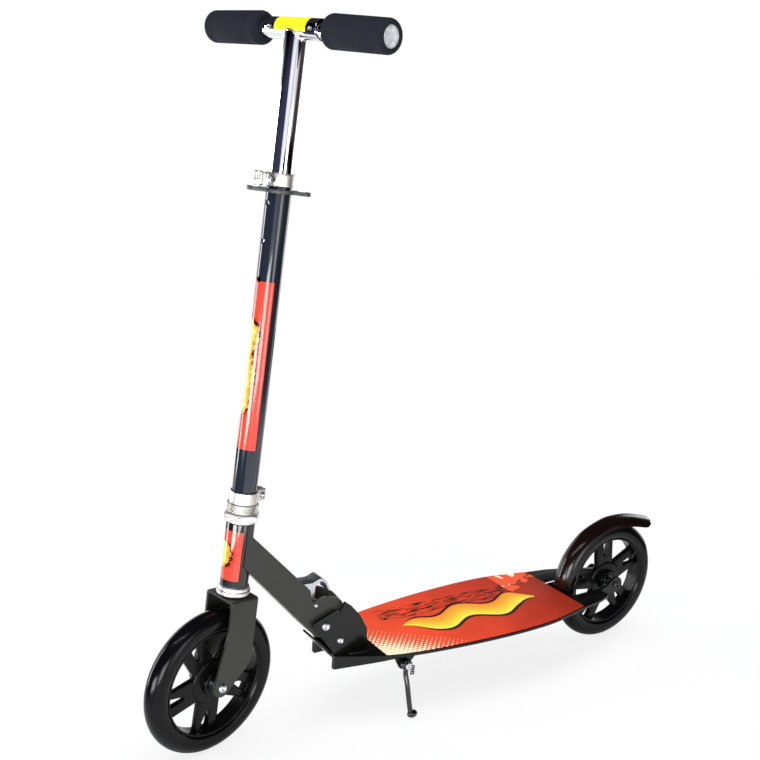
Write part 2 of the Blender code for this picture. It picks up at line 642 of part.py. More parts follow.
def make_column(steer):
    """The steering column with its lock rings, the two clamps and the clip plate for loose grips."""
    hexagon = rod("head_nut", 0.0243, 0.2208, 0.2300, steer, CHROME, sides=6)
    hexagon.rotation_euler = (0, 0, radians(12))
    cone = [(0, 0.2312), (0.0150, 0.2312), (0.0245, 0.2268), (0.0245, 0.2190), (0, 0.2190)]
    trim = turned("nut_trim", cone, steer)
    boolean(hexagon, trim, "INTERSECT")
    cut(hexagon, rod("nut_bore", COLUMN_BORE, 0.2, 0.26, steer, sides=24))
    ridges = [(0.0202 if k % 2 else 0.0190, 0.2408 - 0.0021 * k) for k in range(6)]
    turned("lock_ring", ridges + [(COLUMN_BORE, 0.2303), (COLUMN_BORE, 0.2408)], steer, CHROME, steps=20)

    column = tube("steering_column", COLUMN_R, COLUMN_BORE, COLUMN_LOW, COLUMN_TOP, steer, BLACK_PAINT)
    for k, height in enumerate(HEIGHT_HOLES):
        at = (0, 0, height)
        cut(column, rod(f"height_hole_{k}", 0.0036, 0.008, 0.022, steer, None, at, (0, pi / 2, 0), 16))

    outline = split_collar(-1, 0.0182, 0.0310, -0.0068, 0.0068)
    clamp = plate("column_clamp", outline, 0.2413, 0.2570, steer, CHROME)
    cut(clamp, rod("column_bolt_hole", 0.0025, -0.02, 0.02, steer, None, (-0.0250, 0, 0.2492), AXIS_Y, 12))
    bolt("column_clamp_bolt", -0.0250, 0.2492, 0.0071, 0.0022, 0.0042, steer)

    seat = arc((0.0295, 0), 0.0078, 48, -228, 14)
    lobe = arc((0, 0), 0.0205, 22, 158, 10)
    clip = [(0.0385, -0.0120, 0.009), (0.0385, 0.0110, 0.003), *seat, (0.0243, 0.0110), *lobe]
    clip += [(-x, y) for x, y in [(0.0243, 0.0110), *reversed(seat)]]
    clip += [(-0.0385, 0.0110, 0.003), (-0.0385, -0.0120, 0.009), *arc((0, 0), 0.0205, 216, 324, 8)]
    plate("clip_plate", fillet(clip), CLIP_LOW, CLIP_LOW + 0.0045, steer, BLACK_NYLON,
          [arc((0, 0), 0.0162, 0, 342, 19)], (0, 0, CLIP_TURN))

    outline = split_collar(1, 0.0178, 0.0276, -0.0062, 0.0085)
    upper = plate("upper_clamp", outline, 0.6413, 0.6556, steer, CHROME)
    lip = tube("upper_lip", 0.0170, COLUMN_BORE, 0.6531, 0.6565, steer)
    cut(lip, box("lip_slit", (0.012, -0.0012, 0.64), (0.05, 0.0012, 0.67), steer))
    join(upper, lip)
    cut(upper, rod("skewer_hole", 0.0030, -0.02, 0.02, steer, None, (SKEWER_X, 0, SKEWER_Z), AXIS_Y, 12))


def split_collar(side, radius, reach, low_y, high_y):
    """A slit collar with two clamp ears, as an outline; side is 1 for ears in front and -1 behind."""
    bore, slit = 0.0162, 0.0008
    ears = [(reach, high_y, 0.0012), *arc((0, 0), radius, degrees(asin(high_y / radius)),
                                          360 + degrees(asin(low_y / radius)), 20), (reach, low_y, 0.0012)]
    gap = degrees(asin(slit / bore))
    outline = fillet([(reach, slit), *ears, (reach, -slit), *arc((0, 0), bore, 360 - gap, gap, 24)])
    return [(side * x, y) for x, y in outline]


def make_quick_release(steer):
    """The skewer across the upper clamp, and the cam lever that wraps round the collar."""
    x, z = SKEWER_X, SKEWER_Z
    centre = (x, -0.0142)
    skewer = rod("qr_skewer", 0.0024, centre[1], 0.0105, steer, ZINC, (x, 0, z), AXIS_Y, 14)
    knob = turned(
        "skewer_nut", [(0, 0.0128), (0.0036, 0.0128), (0.0048, 0.0116), (0.0048, 0.0088), (0, 0.0088)],
        steer, None, (x, 0, z), AXIS_Y, 14,
    )
    barrel = rod("skewer_barrel", 0.0028, z - 0.0090, z + 0.0058, steer, None, (*centre, 0), sides=14)
    join(skewer, knob, barrel)
    joint = empty("quick_release", steer, (*centre, z))
    frame = empty("quick_release_frame", joint, (-centre[0], -centre[1], -z))
    outline = arc((0, 0), 0.0262, -32, -160, 15) + arc((0, 0), 0.0233, -160, -37, 15)
    lever = plate("qr_lever", outline, z - 0.0052, z + 0.0032, frame, CHROME)
    cam = rod("qr_cam", 0.0056, z - 0.0096, z + 0.0074, frame, None, (*centre, 0), sides=20)
    join(lever, cam)
    barrel_bore = rod("qr_barrel_bore", 0.0032, z - 0.02, z + 0.0062, frame, None, (*centre, 0), sides=14)
    sweep = [tuple(centre), *arc(centre, 0.02, -75, 140, 9)]
    cut(lever, barrel_bore, plate("qr_skewer_slot", sweep, z - 0.0028, z + 0.0028, frame))


def make_handlebar(steer):
    """The T-bar, its height button, and the two pull-out grips with their foam sleeves."""
    joint = empty("bar_height", steer)
    middle = (0, 0, BAR_HEIGHT)
    across = rod("t_bar", CROSSBAR_R, -CROSSBAR_HALF, CROSSBAR_HALF, joint, CHROME, middle, AXIS_Y, 24)
    join(across, rod("stem", STEM_R, STEM_LOW, BAR_HEIGHT - 0.003, joint, sides=24))
    cut(across, rod("crossbar_bore", CROSSBAR_BORE, -0.1, 0.1, joint, None, middle, AXIS_Y, 24))
    cut(across, rod("stem_bore", STEM_R - 0.0016, STEM_LOW - 0.01, BAR_HEIGHT - 0.0095, joint, sides=20))
    height = HEIGHT_HOLES[0]
    cut(across, button_hole("stem_hole", joint, height))
    tip = COLUMN_BORE - 0.0003
    push = empty("height_button_slide", joint, (0, 0, height), (0, pi / 2, 0))
    make_button("height_button", tip, 0.0120, 0.0106, 0.0092, push)
    for side, name in ((1, "left"), (-1, "right")):
        at = (0, 0, BAR_HEIGHT - GRIP_SAG + GRIP_PIVOT * sin(GRIP_DROOP))
        slide = empty(f"grip_slide_{name}", joint, at, (-side * (pi / 2 + GRIP_DROOP), 0, 0))
        cut(across, button_hole(f"crossbar_hole_{name}", slide, GRIP_BUTTON_Y))
        make_grip(name, slide)


def button_hole(name, parent, along):
    """A cutter for the hole that a spring button shows through, on the +X side of a tube."""
    return rod(name, 0.0034, 0.006, 0.022, parent, None, (0, 0, along), (0, pi / 2, 0), 16)


def make_button(name, tip, neck, shoulder, low, push):
    """A spring button: a round-nosed pin on a wider foot that stays inside the tube."""
    profile = [(0, tip), (0.0018, tip - 0.0002), (0.0030, tip - 0.0012), (0.0030, neck)]
    turned(name, profile + [(0.0048, shoulder), (0.0048, low), (0, low)], push, ZINC, steps=16)


def make_grip(name, slide):
    """One grip: its steel tube, the tapered foam sleeve, the end plug and the spring button."""
    pipe = tube(f"grip_bar_{name}", GRIP_BAR_R, GRIP_BAR_BORE, GRIP_BAR_IN, GRIP_BAR_OUT, slide, ZINC)
    cut(pipe, button_hole(f"grip_bar_hole_{name}", slide, GRIP_BUTTON_Y))
    nose, seat = 0.0060, GRIP_BAR_OUT + GAP
    profile = arc((FOAM_TIP_R - nose, FOAM_OUT - nose), nose, 90, 0, 3)
    profile += arc((FOAM_R - nose, FOAM_IN + nose), nose, 0, -90, 3)
    bore = GRIP_BAR_R + GAP
    profile += [(bore, FOAM_IN), (bore, seat), (0.0133, seat), (0.0133, FOAM_OUT)]
    turned(f"foam_grip_{name}", profile, slide, FOAM, steps=20)
    spigot = GRIP_BAR_BORE - GAP
    plug = [(0, 0.1527), (0.0110, 0.1527), (0.0130, 0.1515), (0.0130, seat), (spigot, seat)]
    plug += [(spigot, 0.1375), (0, 0.1375)]
    turned(f"grip_plug_{name}", plug, slide, GREY_PLASTIC, steps=20)
    push = empty(f"grip_button_slide_{name}", slide, (0, 0, GRIP_BUTTON_Y), (0, pi / 2, 0))
    make_button(f"grip_button_{name}", GRIP_BAR_R, 0.0079, 0.0070, 0.0058, push)


def make_wheel(name, parent, location, spoke_turn):
    """A polyurethane tyre on a nylon core with paired spokes, and two ball bearings."""
    spin = empty(f"{name}_wheel", parent, location, AXIS_Y)
    centre = WHEEL_RADIUS - TYRE_HALF_WIDTH
    crown = arc((centre, 0), TYRE_HALF_WIDTH, 90, -90, 5)
    tyre = crown + [(TYRE_BORE, -0.0120), (TYRE_BORE, 0.0120)]
    turned(f"{name}_tyre", tyre, spin, BLACK_PU, steps=36)

    pitch = 2 * pi / SPOKE_PAIRS
    holes = [arc((0, 0), 0.0130, 0, 330, 11)]
    for k in range(SPOKE_PAIRS):
        turn = k * pitch - spoke_turn
        holes.append(spoke_gap(turn + pitch / 2, 0.0300, radians(20.5), 0.0045))
        holes.append(spoke_gap(turn, 0.0455, radians(7.5), 0.0022))
    web = arc((0, 0), RIM_INNER + 0.002, 0, 350, 35)
    core = plate(f"{name}_core", web, -0.0065, 0.0065, spin, BLACK_NYLON, holes)
    rim = tube(f"{name}_rim", TYRE_BORE - GAP, RIM_INNER, -0.0120, 0.0120, spin, steps=36)
    seat = HUB_HALF - BEARING_WIDTH
    rounding = 0.0015
    hub_line = [(HUB_R - rounding, HUB_HALF), (HUB_R, HUB_HALF - rounding), (HUB_R + 0.001, 0)]
    hub_line += [(HUB_R, rounding - HUB_HALF), (HUB_R - rounding, -HUB_HALF)]
    hub = turned(f"{name}_hub", hub_line + [(0.0085, -HUB_HALF), (0.0085, HUB_HALF)], spin, steps=20)
    join(core, rim, hub)
    for side, label in ((1, "left"), (-1, "right")):
        low, high = sorted((side * (seat - GAP), side * (HUB_HALF + 0.01)))
        cut(core, rod(f"{name}_seat_{label}", BEARING_R, low, high, spin, sides=20))
        low, high = sorted((side * seat, side * HUB_HALF))
        ring = [
            (BEARING_R - GAP, high), (BEARING_R - GAP, low), (AXLE_R + GAP, low), (AXLE_R + GAP, high),
        ]
        turned(f"{name}_bearing_{label}", ring, spin, BEARING_STEEL, steps=20)
    return spin


def spoke_gap(middle, inner, half_angle, corner):
    """A wedge-shaped opening: a blunt point towards the hub and an arc under the rim."""
    outer = RIM_INNER + 0.0012
    ends = (middle - half_angle, middle + half_angle)
    tip = (inner * cos(middle), inner * sin(middle), corner)
    start = (outer * cos(ends[0]), outer * sin(ends[0]))
    rim_side = [(outer * cos(a), outer * sin(a)) for a in
                (ends[0] + (ends[1] - ends[0]) * k / 4 for k in range(1, 4))]
    finish_at = (outer * cos(ends[1]), outer * sin(ends[1]))
    near = hypot(start[0] - tip[0], start[1] - tip[1])
    blunt = min(corner, near * 0.3)
    return fillet([(tip[0], tip[1], blunt), start, *rim_side, finish_at])


def stand_on_floor():
    """Moves the stance so that the whole scooter's box is centred over the origin and rests at Z = 0."""
    bpy.context.view_layer.update()
    graph = bpy.context.evaluated_depsgraph_get()
    points = []
    for made in PARTS.objects:
        if made.type == "MESH":
            solid = made.evaluated_get(graph)
            points += [solid.matrix_world @ vertex.co for vertex in solid.to_mesh().vertices]
            solid.to_mesh_clear()
    low = [min(p[i] for p in points) for i in range(3)]
    high = [max(p[i] for p in points) for i in range(3)]
    STANCE.location = (-(low[0] + high[0]) / 2, -(low[1] + high[1]) / 2, -low[2])
    bpy.context.view_layer.update()


make_deck()
make_fold_bracket()
make_rear_fork()
make_brake()
make_kickstand()
HEAD = make_neck()
make_headset(HEAD)
STEER = empty("steering", HEAD, rotation=(0, 0, STEER_REST))
make_fork(STEER)
make_column(STEER)
make_quick_release(STEER)
make_handlebar(STEER)
make_wheel("front", STEER, (AXLE_AHEAD, 0, 0), FRONT_SPOKES)
make_wheel("rear", STANCE, (-WHEELBASE, 0, WHEEL_RADIUS), REAR_SPOKES)
stand_on_floor()
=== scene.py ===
# %% [markdown]
# # A folding kick scooter, dressed for its photograph
#
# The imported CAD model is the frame: every solid has its real place and size in metres. This script
# gives each of them its look. A solid whose form is already right gets rounded edges and a finish,
# and a solid with few facets is made again with more of them, in the same place.

import json
from math import asin, cos, degrees, pi, radians, sin, sqrt

import bmesh
import bpy
from mathutils import Matrix, Vector


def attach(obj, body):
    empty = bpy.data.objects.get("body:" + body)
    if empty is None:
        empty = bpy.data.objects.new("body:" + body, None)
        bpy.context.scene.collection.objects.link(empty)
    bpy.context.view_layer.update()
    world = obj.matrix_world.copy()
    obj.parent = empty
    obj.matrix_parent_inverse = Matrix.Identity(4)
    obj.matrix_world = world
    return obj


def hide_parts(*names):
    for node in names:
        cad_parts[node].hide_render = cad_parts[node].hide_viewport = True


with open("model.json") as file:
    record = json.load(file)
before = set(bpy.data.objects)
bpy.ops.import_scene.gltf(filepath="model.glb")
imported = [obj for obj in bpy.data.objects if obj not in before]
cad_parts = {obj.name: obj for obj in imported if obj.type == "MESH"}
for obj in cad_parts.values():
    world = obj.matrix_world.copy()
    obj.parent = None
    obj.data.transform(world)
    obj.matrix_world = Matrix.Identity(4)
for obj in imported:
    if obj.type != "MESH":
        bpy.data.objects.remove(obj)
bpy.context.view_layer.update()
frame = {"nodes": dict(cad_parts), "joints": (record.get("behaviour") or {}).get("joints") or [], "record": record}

# %% [markdown]
# ## Measures and places
#
# A scooter is easiest to think of upright, with X forward and the ground at Z = 0. The real one leans on
# its kickstand, so one matrix tips the upright scooter over. A second matrix follows the steering axis,
# and a third follows the turned fork and bar. With these, every piece is made in simple coordinates.

# %% Measures and places
LEAN = radians(7.0)
STEER_REST = radians(12.0)
RAKE = radians(4.5)
WHEEL_RADIUS = 0.100
WHEELBASE = 0.7165
AXLE_AHEAD = 0.0226
AXIS_X, AXIS_Z = -0.0225, 0.0982
# Neighbouring pieces keep this gap, so that no two of them share a face.
GAP = 0.0003
FULL_TURN = 2 * pi
shift = Matrix.Translation

joints = {joint["name"]: joint for joint in frame["joints"]}
rear_axle = Vector(joints["rear_wheel_spin"]["pos_m"])
STANCE = (shift(rear_axle) @ Matrix.Rotation(-LEAN, 4, "X")
          @ shift((WHEELBASE, 0, -WHEEL_RADIUS)))
HEAD = STANCE @ shift((AXIS_X, 0, AXIS_Z)) @ Matrix.Rotation(-RAKE, 4, "Y")
STEER = HEAD @ Matrix.Rotation(STEER_REST, 4, "Z")
ALONG_Y = Matrix.Rotation(-pi / 2, 4, "X")
IN_XZ = Matrix.Rotation(pi / 2, 4, "X")
FRONT_HUB = STEER @ shift((AXLE_AHEAD, 0, 0)) @ ALONG_Y
REAR_HUB = STANCE @ shift((-WHEELBASE, 0, WHEEL_RADIUS)) @ ALONG_Y
print("steering axis points to", [round(v, 3) for v in STEER.col[2][:3]])

# %% [markdown]
# ## Camera
#
# The photograph was taken from the front left at about the height of the bar. The camera's place and its
# lens were worked out from the wheels, the deck and the bar, which have known places in the frame.

# %% Camera
CAMERA_AT = Vector((0.6012, 1.2033, 0.8651))
CAMERA_RIGHT = Vector((-0.8279, 0.5567, 0.0687)).normalized()
CAMERA_BACK = Vector((0.5542, 0.7931, 0.2528))
IMAGE_SIDE = 760
FOCAL_PIXELS = 1135.3

camera_up = CAMERA_BACK.cross(CAMERA_RIGHT).normalized()
camera_back = CAMERA_RIGHT.cross(camera_up)
looking = Matrix((CAMERA_RIGHT, camera_up, camera_back)).transposed().to_4x4()
camera = bpy.data.objects.new("camera", bpy.data.cameras.new("camera"))
bpy.context.scene.collection.objects.link(camera)
camera.matrix_world = STANCE @ shift(CAMERA_AT) @ looking
camera.data.sensor_width = 36.0
camera.data.lens = FOCAL_PIXELS / IMAGE_SIDE * camera.data.sensor_width
camera.data.clip_start = 0.01
bpy.context.scene.camera = camera
print("camera", [round(v, 3) for v in camera.matrix_world.translation], "lens", round(camera.data.lens, 1))

# %% [markdown]
# ## Helpers for finishes
#
# A finish is a small tree of shader nodes. One function turns the sRGB hex colours that people write into
# the linear colours that the renderer needs, one joins a node's inputs to what feeds them, one adds a node
# with its settings and its links, and one starts a finish. A node that feeds another stands for its first
# output.

# %% Helpers for finishes
def linear(hex_colour):
    parts = [int(hex_colour[i:i + 2], 16) / 255 for i in (0, 2, 4)]
    return [p / 12.92 if p <= 0.04045 else ((p + 0.055) / 1.055) ** 2.4 for p in parts] + [1.0]


def join(tree, made, links):
    """Each named input of a node gets a value, a socket, or the first output of another node."""
    for key, value in links.items():
        if isinstance(value, bpy.types.Node):
            value = next(output for output in value.outputs if output.enabled)
        if isinstance(value, bpy.types.NodeSocket):
            tree.links.new(value, made.inputs[key])
        else:
            made.inputs[key].default_value = value


def node(tree, kind, links=None, stops=(), **settings):
    """
    Adds a node: settings are its properties, links its inputs, and stops the places and colours of a
    colour ramp, from left to right.
    """
    made = tree.nodes.new(kind)
    for key, value in settings.items():
        setattr(made, key, value)
    join(tree, made, links or {})
    if stops:
        marks = made.color_ramp.elements
        marks.remove(marks[1])
        marks[0].position, marks[0].color = stops[0][0], linear(stops[0][1])
        for position, colour in stops[1:]:
            marks.new(position).color = linear(colour)
    return made


def blank_finish(name):
    """A new material with its tree and its surface shader."""
    made = bpy.data.materials.new(name)
    made.use_nodes = True
    return made, made.node_tree, made.node_tree.nodes["Principled BSDF"]


def surface(name, dark, light, patch_mm, roughness, grain_mm=0.5, relief_mm=0.0, metallic=0.0, coat=0.0,
            ior=1.5):
    """
    A real finish in two close tones: patches of patch_mm drift between them and carry the change in
    roughness, from the first to the second of the pair, and grain of grain_mm stands up by relief_mm.
    """
    made, tree, shader = blank_finish(name)
    at = node(tree, "ShaderNodeTexCoord").outputs["Object"]
    patches = node(tree, "ShaderNodeTexNoise", {"Vector": at, "Scale": 1000 / patch_mm, "Detail": 3.0})
    tone = node(tree, "ShaderNodeMix", {"Factor": patches, "A": linear(dark), "B": linear(light)},
                data_type="RGBA")
    polish = node(tree, "ShaderNodeMapRange", {"Value": patches, "From Min": 0.3, "From Max": 0.7,
                                               "To Min": roughness[0], "To Max": roughness[1]})
    if relief_mm:
        grain = node(tree, "ShaderNodeTexNoise", {"Vector": at, "Scale": 1000 / grain_mm, "Detail": 2.0})
        bump = node(tree, "ShaderNodeBump", {"Height": grain, "Distance": relief_mm / 1000})
        join(tree, shader, {"Normal": bump})
    join(tree, shader, {"Base Color": tone, "Roughness": polish, "Metallic": metallic, "Coat Weight": coat,
                        "IOR": ior})
    return made


# %% [markdown]
# ## The finishes
#
# Most of the frame is steel with black powder coat. The column has a glossier black. The wheels are cast
# polyurethane on glass-filled nylon, the bar is chrome plate, and the fasteners have bright zinc plate.
# Each finish is two close tones, a range of roughness and, where one can feel it, a fine relief.

# %% Painted and plated steel
# Powder coat melts in the oven and keeps a faint orange peel: broad, soft highlights on a warm black.
POWDER_COAT = surface("black_powder_coat", "1E1F1C", "282924", 40, (0.34, 0.44), 1.6, 0.03)
# Thin stampings are dipped in stove enamel: a deeper and shinier black that shows the lamps.
STOVE_ENAMEL = surface("black_stove_enamel", "070807", "0D0D0C", 50, (0.16, 0.26), 2.0, 0.02, ior=1.4)
# Wet enamel flows flat, so it mirrors lamps as sharp lines.
GLOSS_ENAMEL = surface("gloss_black_enamel", "060708", "0B0C0E", 60, (0.10, 0.16), 2.5, 0.01, coat=0.5)
# Chrome is a cool mirror with hardly any colour of its own.
CHROME_PLATE = surface("chrome_plate", "EDEEF2", "F7F7FA", 30, (0.03, 0.08), metallic=1.0)
# Plate on a rough casting stays satin: it spreads the studio into soft, pale tones.
SATIN_CHROME = surface("satin_chrome_casting", "DEDCD8", "EFEEEA", 12, (0.40, 0.50), metallic=1.0)
# Zinc is softer and greyer than chrome, and its crystals cloud it a little.
ZINC_PLATE = surface("bright_zinc_plate", "C4C7CA", "E4E6E8", 6, (0.30, 0.42), metallic=1.0)
# Ground steel has turning marks too fine to see, which widen its highlight.
GROUND_STEEL = surface("ground_bearing_steel", "3E4144", "565A5E", 6, (0.22, 0.32), metallic=1.0)

# %% Plastics, foam and film
# Polyurethane is cast against a polished mould: deep black with sharp, small highlights.
CAST_PU = surface("cast_polyurethane", "050506", "0A0A0B", 50, (0.12, 0.20), 3.0, 0.005, ior=1.28)
# Glass fibres reach the surface of this nylon and make it a little dull and blotchy.
GLASS_NYLON = surface("glass_filled_nylon", "060606", "0C0C0C", 25, (0.22, 0.32), 0.8, 0.01, ior=1.28)
# The clips are the same nylon, scuffed grey by the grips that are pushed into them.
SCUFFED_NYLON = surface("scuffed_nylon", "2A2C2B", "4A4D4A", 8, (0.30, 0.45), 0.8, 0.02)
# The fender's plain nylon comes out of the mould shinier, and its black is drawn with a warm brown tint.
FENDER_NYLON = surface("polished_nylon", "0A0605", "160B08", 60, (0.12, 0.20), 2.0, 0.01, ior=1.45)
# A bearing's seal is a moulded rubber washer: flat black.
SEAL_RUBBER = surface("moulded_seal_rubber", "0A0A0A", "131313", 4, (0.50, 0.65), 0.5, 0.01, ior=1.4)
# Open pores at the foam's skin trap light, so it looks almost flat.
FOAM_RUBBER = surface("closed_cell_foam", "12151C", "1F232D", 5, (0.80, 0.94), 0.9, 0.15, ior=1.3)
# Moulded ABS is a light grey that flow lines cloud a little.
GREY_ABS = surface("moulded_grey_abs", "7E8285", "F6F7F8", 6, (0.10, 0.22), 1.2, 0.02)
# Vinyl film is evenly coloured and slightly waxy.
YELLOW_VINYL = surface("yellow_vinyl_film", "E9DC14", "FBF022", 12, (0.30, 0.40), ior=1.35)

# %% Finishes of the solids
FINISH_OF_SLOT = {
    "black_paint": POWDER_COAT, "chrome": CHROME_PLATE, "zinc_plate": ZINC_PLATE,
    "bearing_steel": GROUND_STEEL, "grip_print": POWDER_COAT, "black_polyurethane": CAST_PU,
    "black_nylon": GLASS_NYLON, "foam_rubber": FOAM_RUBBER, "grey_plastic": GREY_ABS,
}
slot_of = {part["node"]: part["material_slot"] for part in frame["record"]["subparts"]}
body_of = {name: body for body, names in frame["record"]["behaviour"]["bodies"].items() for name in names}
for name, solid in frame["nodes"].items():
    for holder in solid.material_slots:
        holder.material = FINISH_OF_SLOT[slot_of[name]]
print("finishes:", len(bpy.data.materials))

# %% [markdown]
# ## Helpers for pieces
#
# Every piece ends the same way: its points go to their place in the frame, it gets its finish, it is told
# which body it rides on and which solid it stands for, and it prints its name and size.

# %% A piece and its place
# Shading breaks at edges that turn by more than this.
CREASE_ANGLE = radians(35)


def piece(name, shape, material, placed=Matrix()):
    """Turns a bmesh into an object at the origin, with its place in its points."""
    shape.transform(placed)
    bmesh.ops.recalc_face_normals(shape, faces=shape.faces)
    mesh = bpy.data.meshes.new(name)
    shape.to_mesh(mesh)
    shape.free()
    mesh.shade_smooth()
    mesh.set_sharp_from_angle(angle=CREASE_ANGLE)
    mesh.materials.clear()
    mesh.materials.append(material)
    made = bpy.data.objects.new(name, mesh)
    bpy.context.scene.collection.objects.link(made)
    return made


def tell(made):
    """Prints a piece's name and its size in millimetres."""
    print(made.name, [round(v * 1000, 1) for v in made.dimensions])
    return made


def stands_for(made, *names):
    """The piece rides with these solids and is shown in their place."""
    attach(made, body_of[names[0]])
    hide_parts(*names)
    return tell(made)


def from_object(made):
    """The bmesh of an object with its modifiers applied; the object is removed."""
    bpy.context.view_layer.update()
    graph = bpy.context.evaluated_depsgraph_get()
    mesh = bpy.data.meshes.new_from_object(made.evaluated_get(graph))
    bpy.data.objects.remove(made, do_unlink=True)
    shape = bmesh.new()
    shape.from_mesh(mesh)
    return shape


def merged(*shapes):
    """One bmesh from several."""
    whole = shapes[0]
    for other in shapes[1:]:
        mesh = bpy.data.meshes.new("joined")
        other.to_mesh(mesh)
        other.free()
        whole.from_mesh(mesh)
    return whole


def carved(shape, *cutters):
    """A bmesh with others cut out of it."""
    block = piece("block", shape, POWDER_COAT)
    tools = [piece("cutter", cutter, POWDER_COAT) for cutter in cutters]
    for tool in tools:
        step = block.modifiers.new("cut", "BOOLEAN")
        step.object, step.operation, step.solver = tool, "DIFFERENCE", "EXACT"
    result = from_object(block)
    for tool in tools:
        bpy.data.objects.remove(tool, do_unlink=True)
    return result


# %% [markdown]
# ## Helpers for shapes
#
# The shapes are of three kinds: turned on an axis, as on a lathe; cut from a plate, with rounded edges;
# and refined from the solid itself. An outline is a list of points whose corners can each be rounded.

# %% Outlines
def fillet(corners, steps=6):
    """A closed outline from (x, y) or (x, y, radius) corners, each rounded by its radius."""
    points = []
    for i, corner in enumerate(corners):
        here = Vector(corner[:2])
        if len(corner) == 2:
            points.append(tuple(here))
            continue
        before = Vector(corners[i - 1][:2]) - here
        after = Vector(corners[(i + 1) % len(corners)][:2]) - here
        half = before.angle(after) / 2
        reach = corner[2] * cos(half) / sin(half)
        start = here + before.normalized() * reach
        end = here + after.normalized() * reach
        for k in range(steps + 1):
            t = k / steps
            points.append(tuple(start * (1 - t) ** 2 + here * 2 * t * (1 - t) + end * t ** 2))
    return points


def arc(centre, radius, start, end, steps):
    """Points on an arc, with both angles in degrees."""
    turns = [radians(start + (end - start) * k / steps) for k in range(steps + 1)]
    return [(centre[0] + radius * cos(a), centre[1] + radius * sin(a)) for a in turns]


def through(points, steps):
    """A smooth path through the points."""
    points = [Vector(p) for p in points]
    padded = [2 * points[0] - points[1], *points, 2 * points[-1] - points[-2]]
    path = []
    for a, b, c, d in zip(padded, padded[1:], padded[2:], padded[3:]):
        for k in range(steps):
            t = k / steps
            path.append(0.5 * (2 * b + (c - a) * t + (2 * a - 5 * b + 4 * c - d) * t ** 2
                               + (3 * b - a - 3 * c + d) * t ** 3))
    return path + [points[-1]]


# %% Turned shapes and plates
def lathe(profile, steps=128, first=0.0, last=FULL_TURN):
    """
    A bmesh turned about Z from (radius, height) points; a ring closes, a solid's ends are on the axis. A
    third number gives a point's ring that many flat sides.
    """
    whole = last - first >= FULL_TURN
    shape = bmesh.new()
    rings = []
    for radius, height, *flats in profile:
        turns = [first + (last - first) * k / steps for k in range(steps if whole else steps + 1)]
        spots = []
        for a in turns if radius else [0.0]:
            side = FULL_TURN / flats[0] if flats else 0.0
            reach = radius * cos(side / 2) / cos(a % side - side / 2) if flats else radius
            spots.append(shape.verts.new((reach * cos(a), reach * sin(a), height)))
        rings.append(spots)
    pairs = list(zip(rings, rings[1:]))
    if profile[0][0] and profile[-1][0]:
        pairs.append((rings[-1], rings[0]))
    for upper, lower in pairs:
        for k in range(steps):
            corners = [upper[k % len(upper)], upper[(k + 1) % len(upper)],
                       lower[(k + 1) % len(lower)], lower[k % len(lower)]]
            shape.faces.new(list(dict.fromkeys(corners)))
    if not whole:
        for end in (0, -1):
            shape.faces.new([ring[end] for ring in rings])
    return shape


def pipe_profile(outer, inner, low, high, edge=0.0005):
    """The rounded outline of a tube's wall."""
    return fillet([(outer, high, edge), (outer, low, edge), (inner, low, edge), (inner, high, edge)], 3)


ROD_STEPS = 32


def rod(radius, low, high, placed):
    """A plain round bar as a bmesh, for cutting and joining."""
    shape = lathe([(0, high), (radius, high), (radius, low), (0, low)], ROD_STEPS)
    shape.transform(placed)
    return shape


def plate(outline, low, high, edge, holes=()):
    """A bmesh of a flat outline with holes, from low to high along Z, its edges rounded."""
    curve = bpy.data.curves.new("outline", "CURVE")
    curve.dimensions = "2D"
    curve.fill_mode = "BOTH"
    curve.extrude = (high - low) / 2 - edge
    curve.bevel_depth = edge
    curve.bevel_resolution = 3
    curve.offset = -edge
    for loop in (outline, *holes):
        spline = curve.splines.new("POLY")
        spline.points.add(len(loop) - 1)
        for point, (x, y) in zip(spline.points, loop):
            point.co = (x, y, 0, 1)
        spline.use_cyclic_u = True
    holder = bpy.data.objects.new("outline", curve)
    bpy.context.scene.collection.objects.link(holder)
    shape = from_object(holder)
    bmesh.ops.remove_doubles(shape, verts=shape.verts, dist=1e-6)
    bmesh.ops.translate(shape, verts=shape.verts, vec=(0, 0, (low + high) / 2))
    return shape


def refined(source, material, edge):
    """The solid itself with its flat faces made whole and its edges rounded."""
    shape = bmesh.new()
    shape.from_mesh(frame["nodes"][source].data)
    bmesh.ops.remove_doubles(shape, verts=shape.verts, dist=1e-6)
    bmesh.ops.dissolve_limit(shape, angle_limit=radians(1.0), verts=shape.verts, edges=shape.edges)
    made = piece(f"{source}_finished", shape, material)
    bevel = made.modifiers.new("rounded_edges", "BEVEL")
    bevel.width, bevel.segments, bevel.use_clamp_overlap = edge, 2, True
    bevel.limit_method, bevel.angle_limit = "ANGLE", radians(32)
    return stands_for(made, source)


# %% [markdown]
# ## Geometry Nodes trees
#
# Things that repeat or follow a path are left to Geometry Nodes. One tree copies a shape round an axis, one
# lays a round bar along a path, and one winds a spring. Their inputs have names, so each use reads like
# an order: five arms, a bar of 3.6 mm radius, a spring of four turns. Each result is baked into a plain mesh.

# %% Inputs and results
def new_tree(name, **inputs):
    """A Geometry Nodes tree with these named inputs, and the outputs of its input node."""
    tree = bpy.data.node_groups.new(name, "GeometryNodeTree")
    for label, kind in {"Geometry": "Geometry", **inputs, "Material": "Material"}.items():
        tree.interface.new_socket(label, in_out="INPUT", socket_type="NodeSocket" + kind)
    tree.interface.new_socket("Geometry", in_out="OUTPUT", socket_type="NodeSocketGeometry")
    return tree, node(tree, "NodeGroupInput").outputs


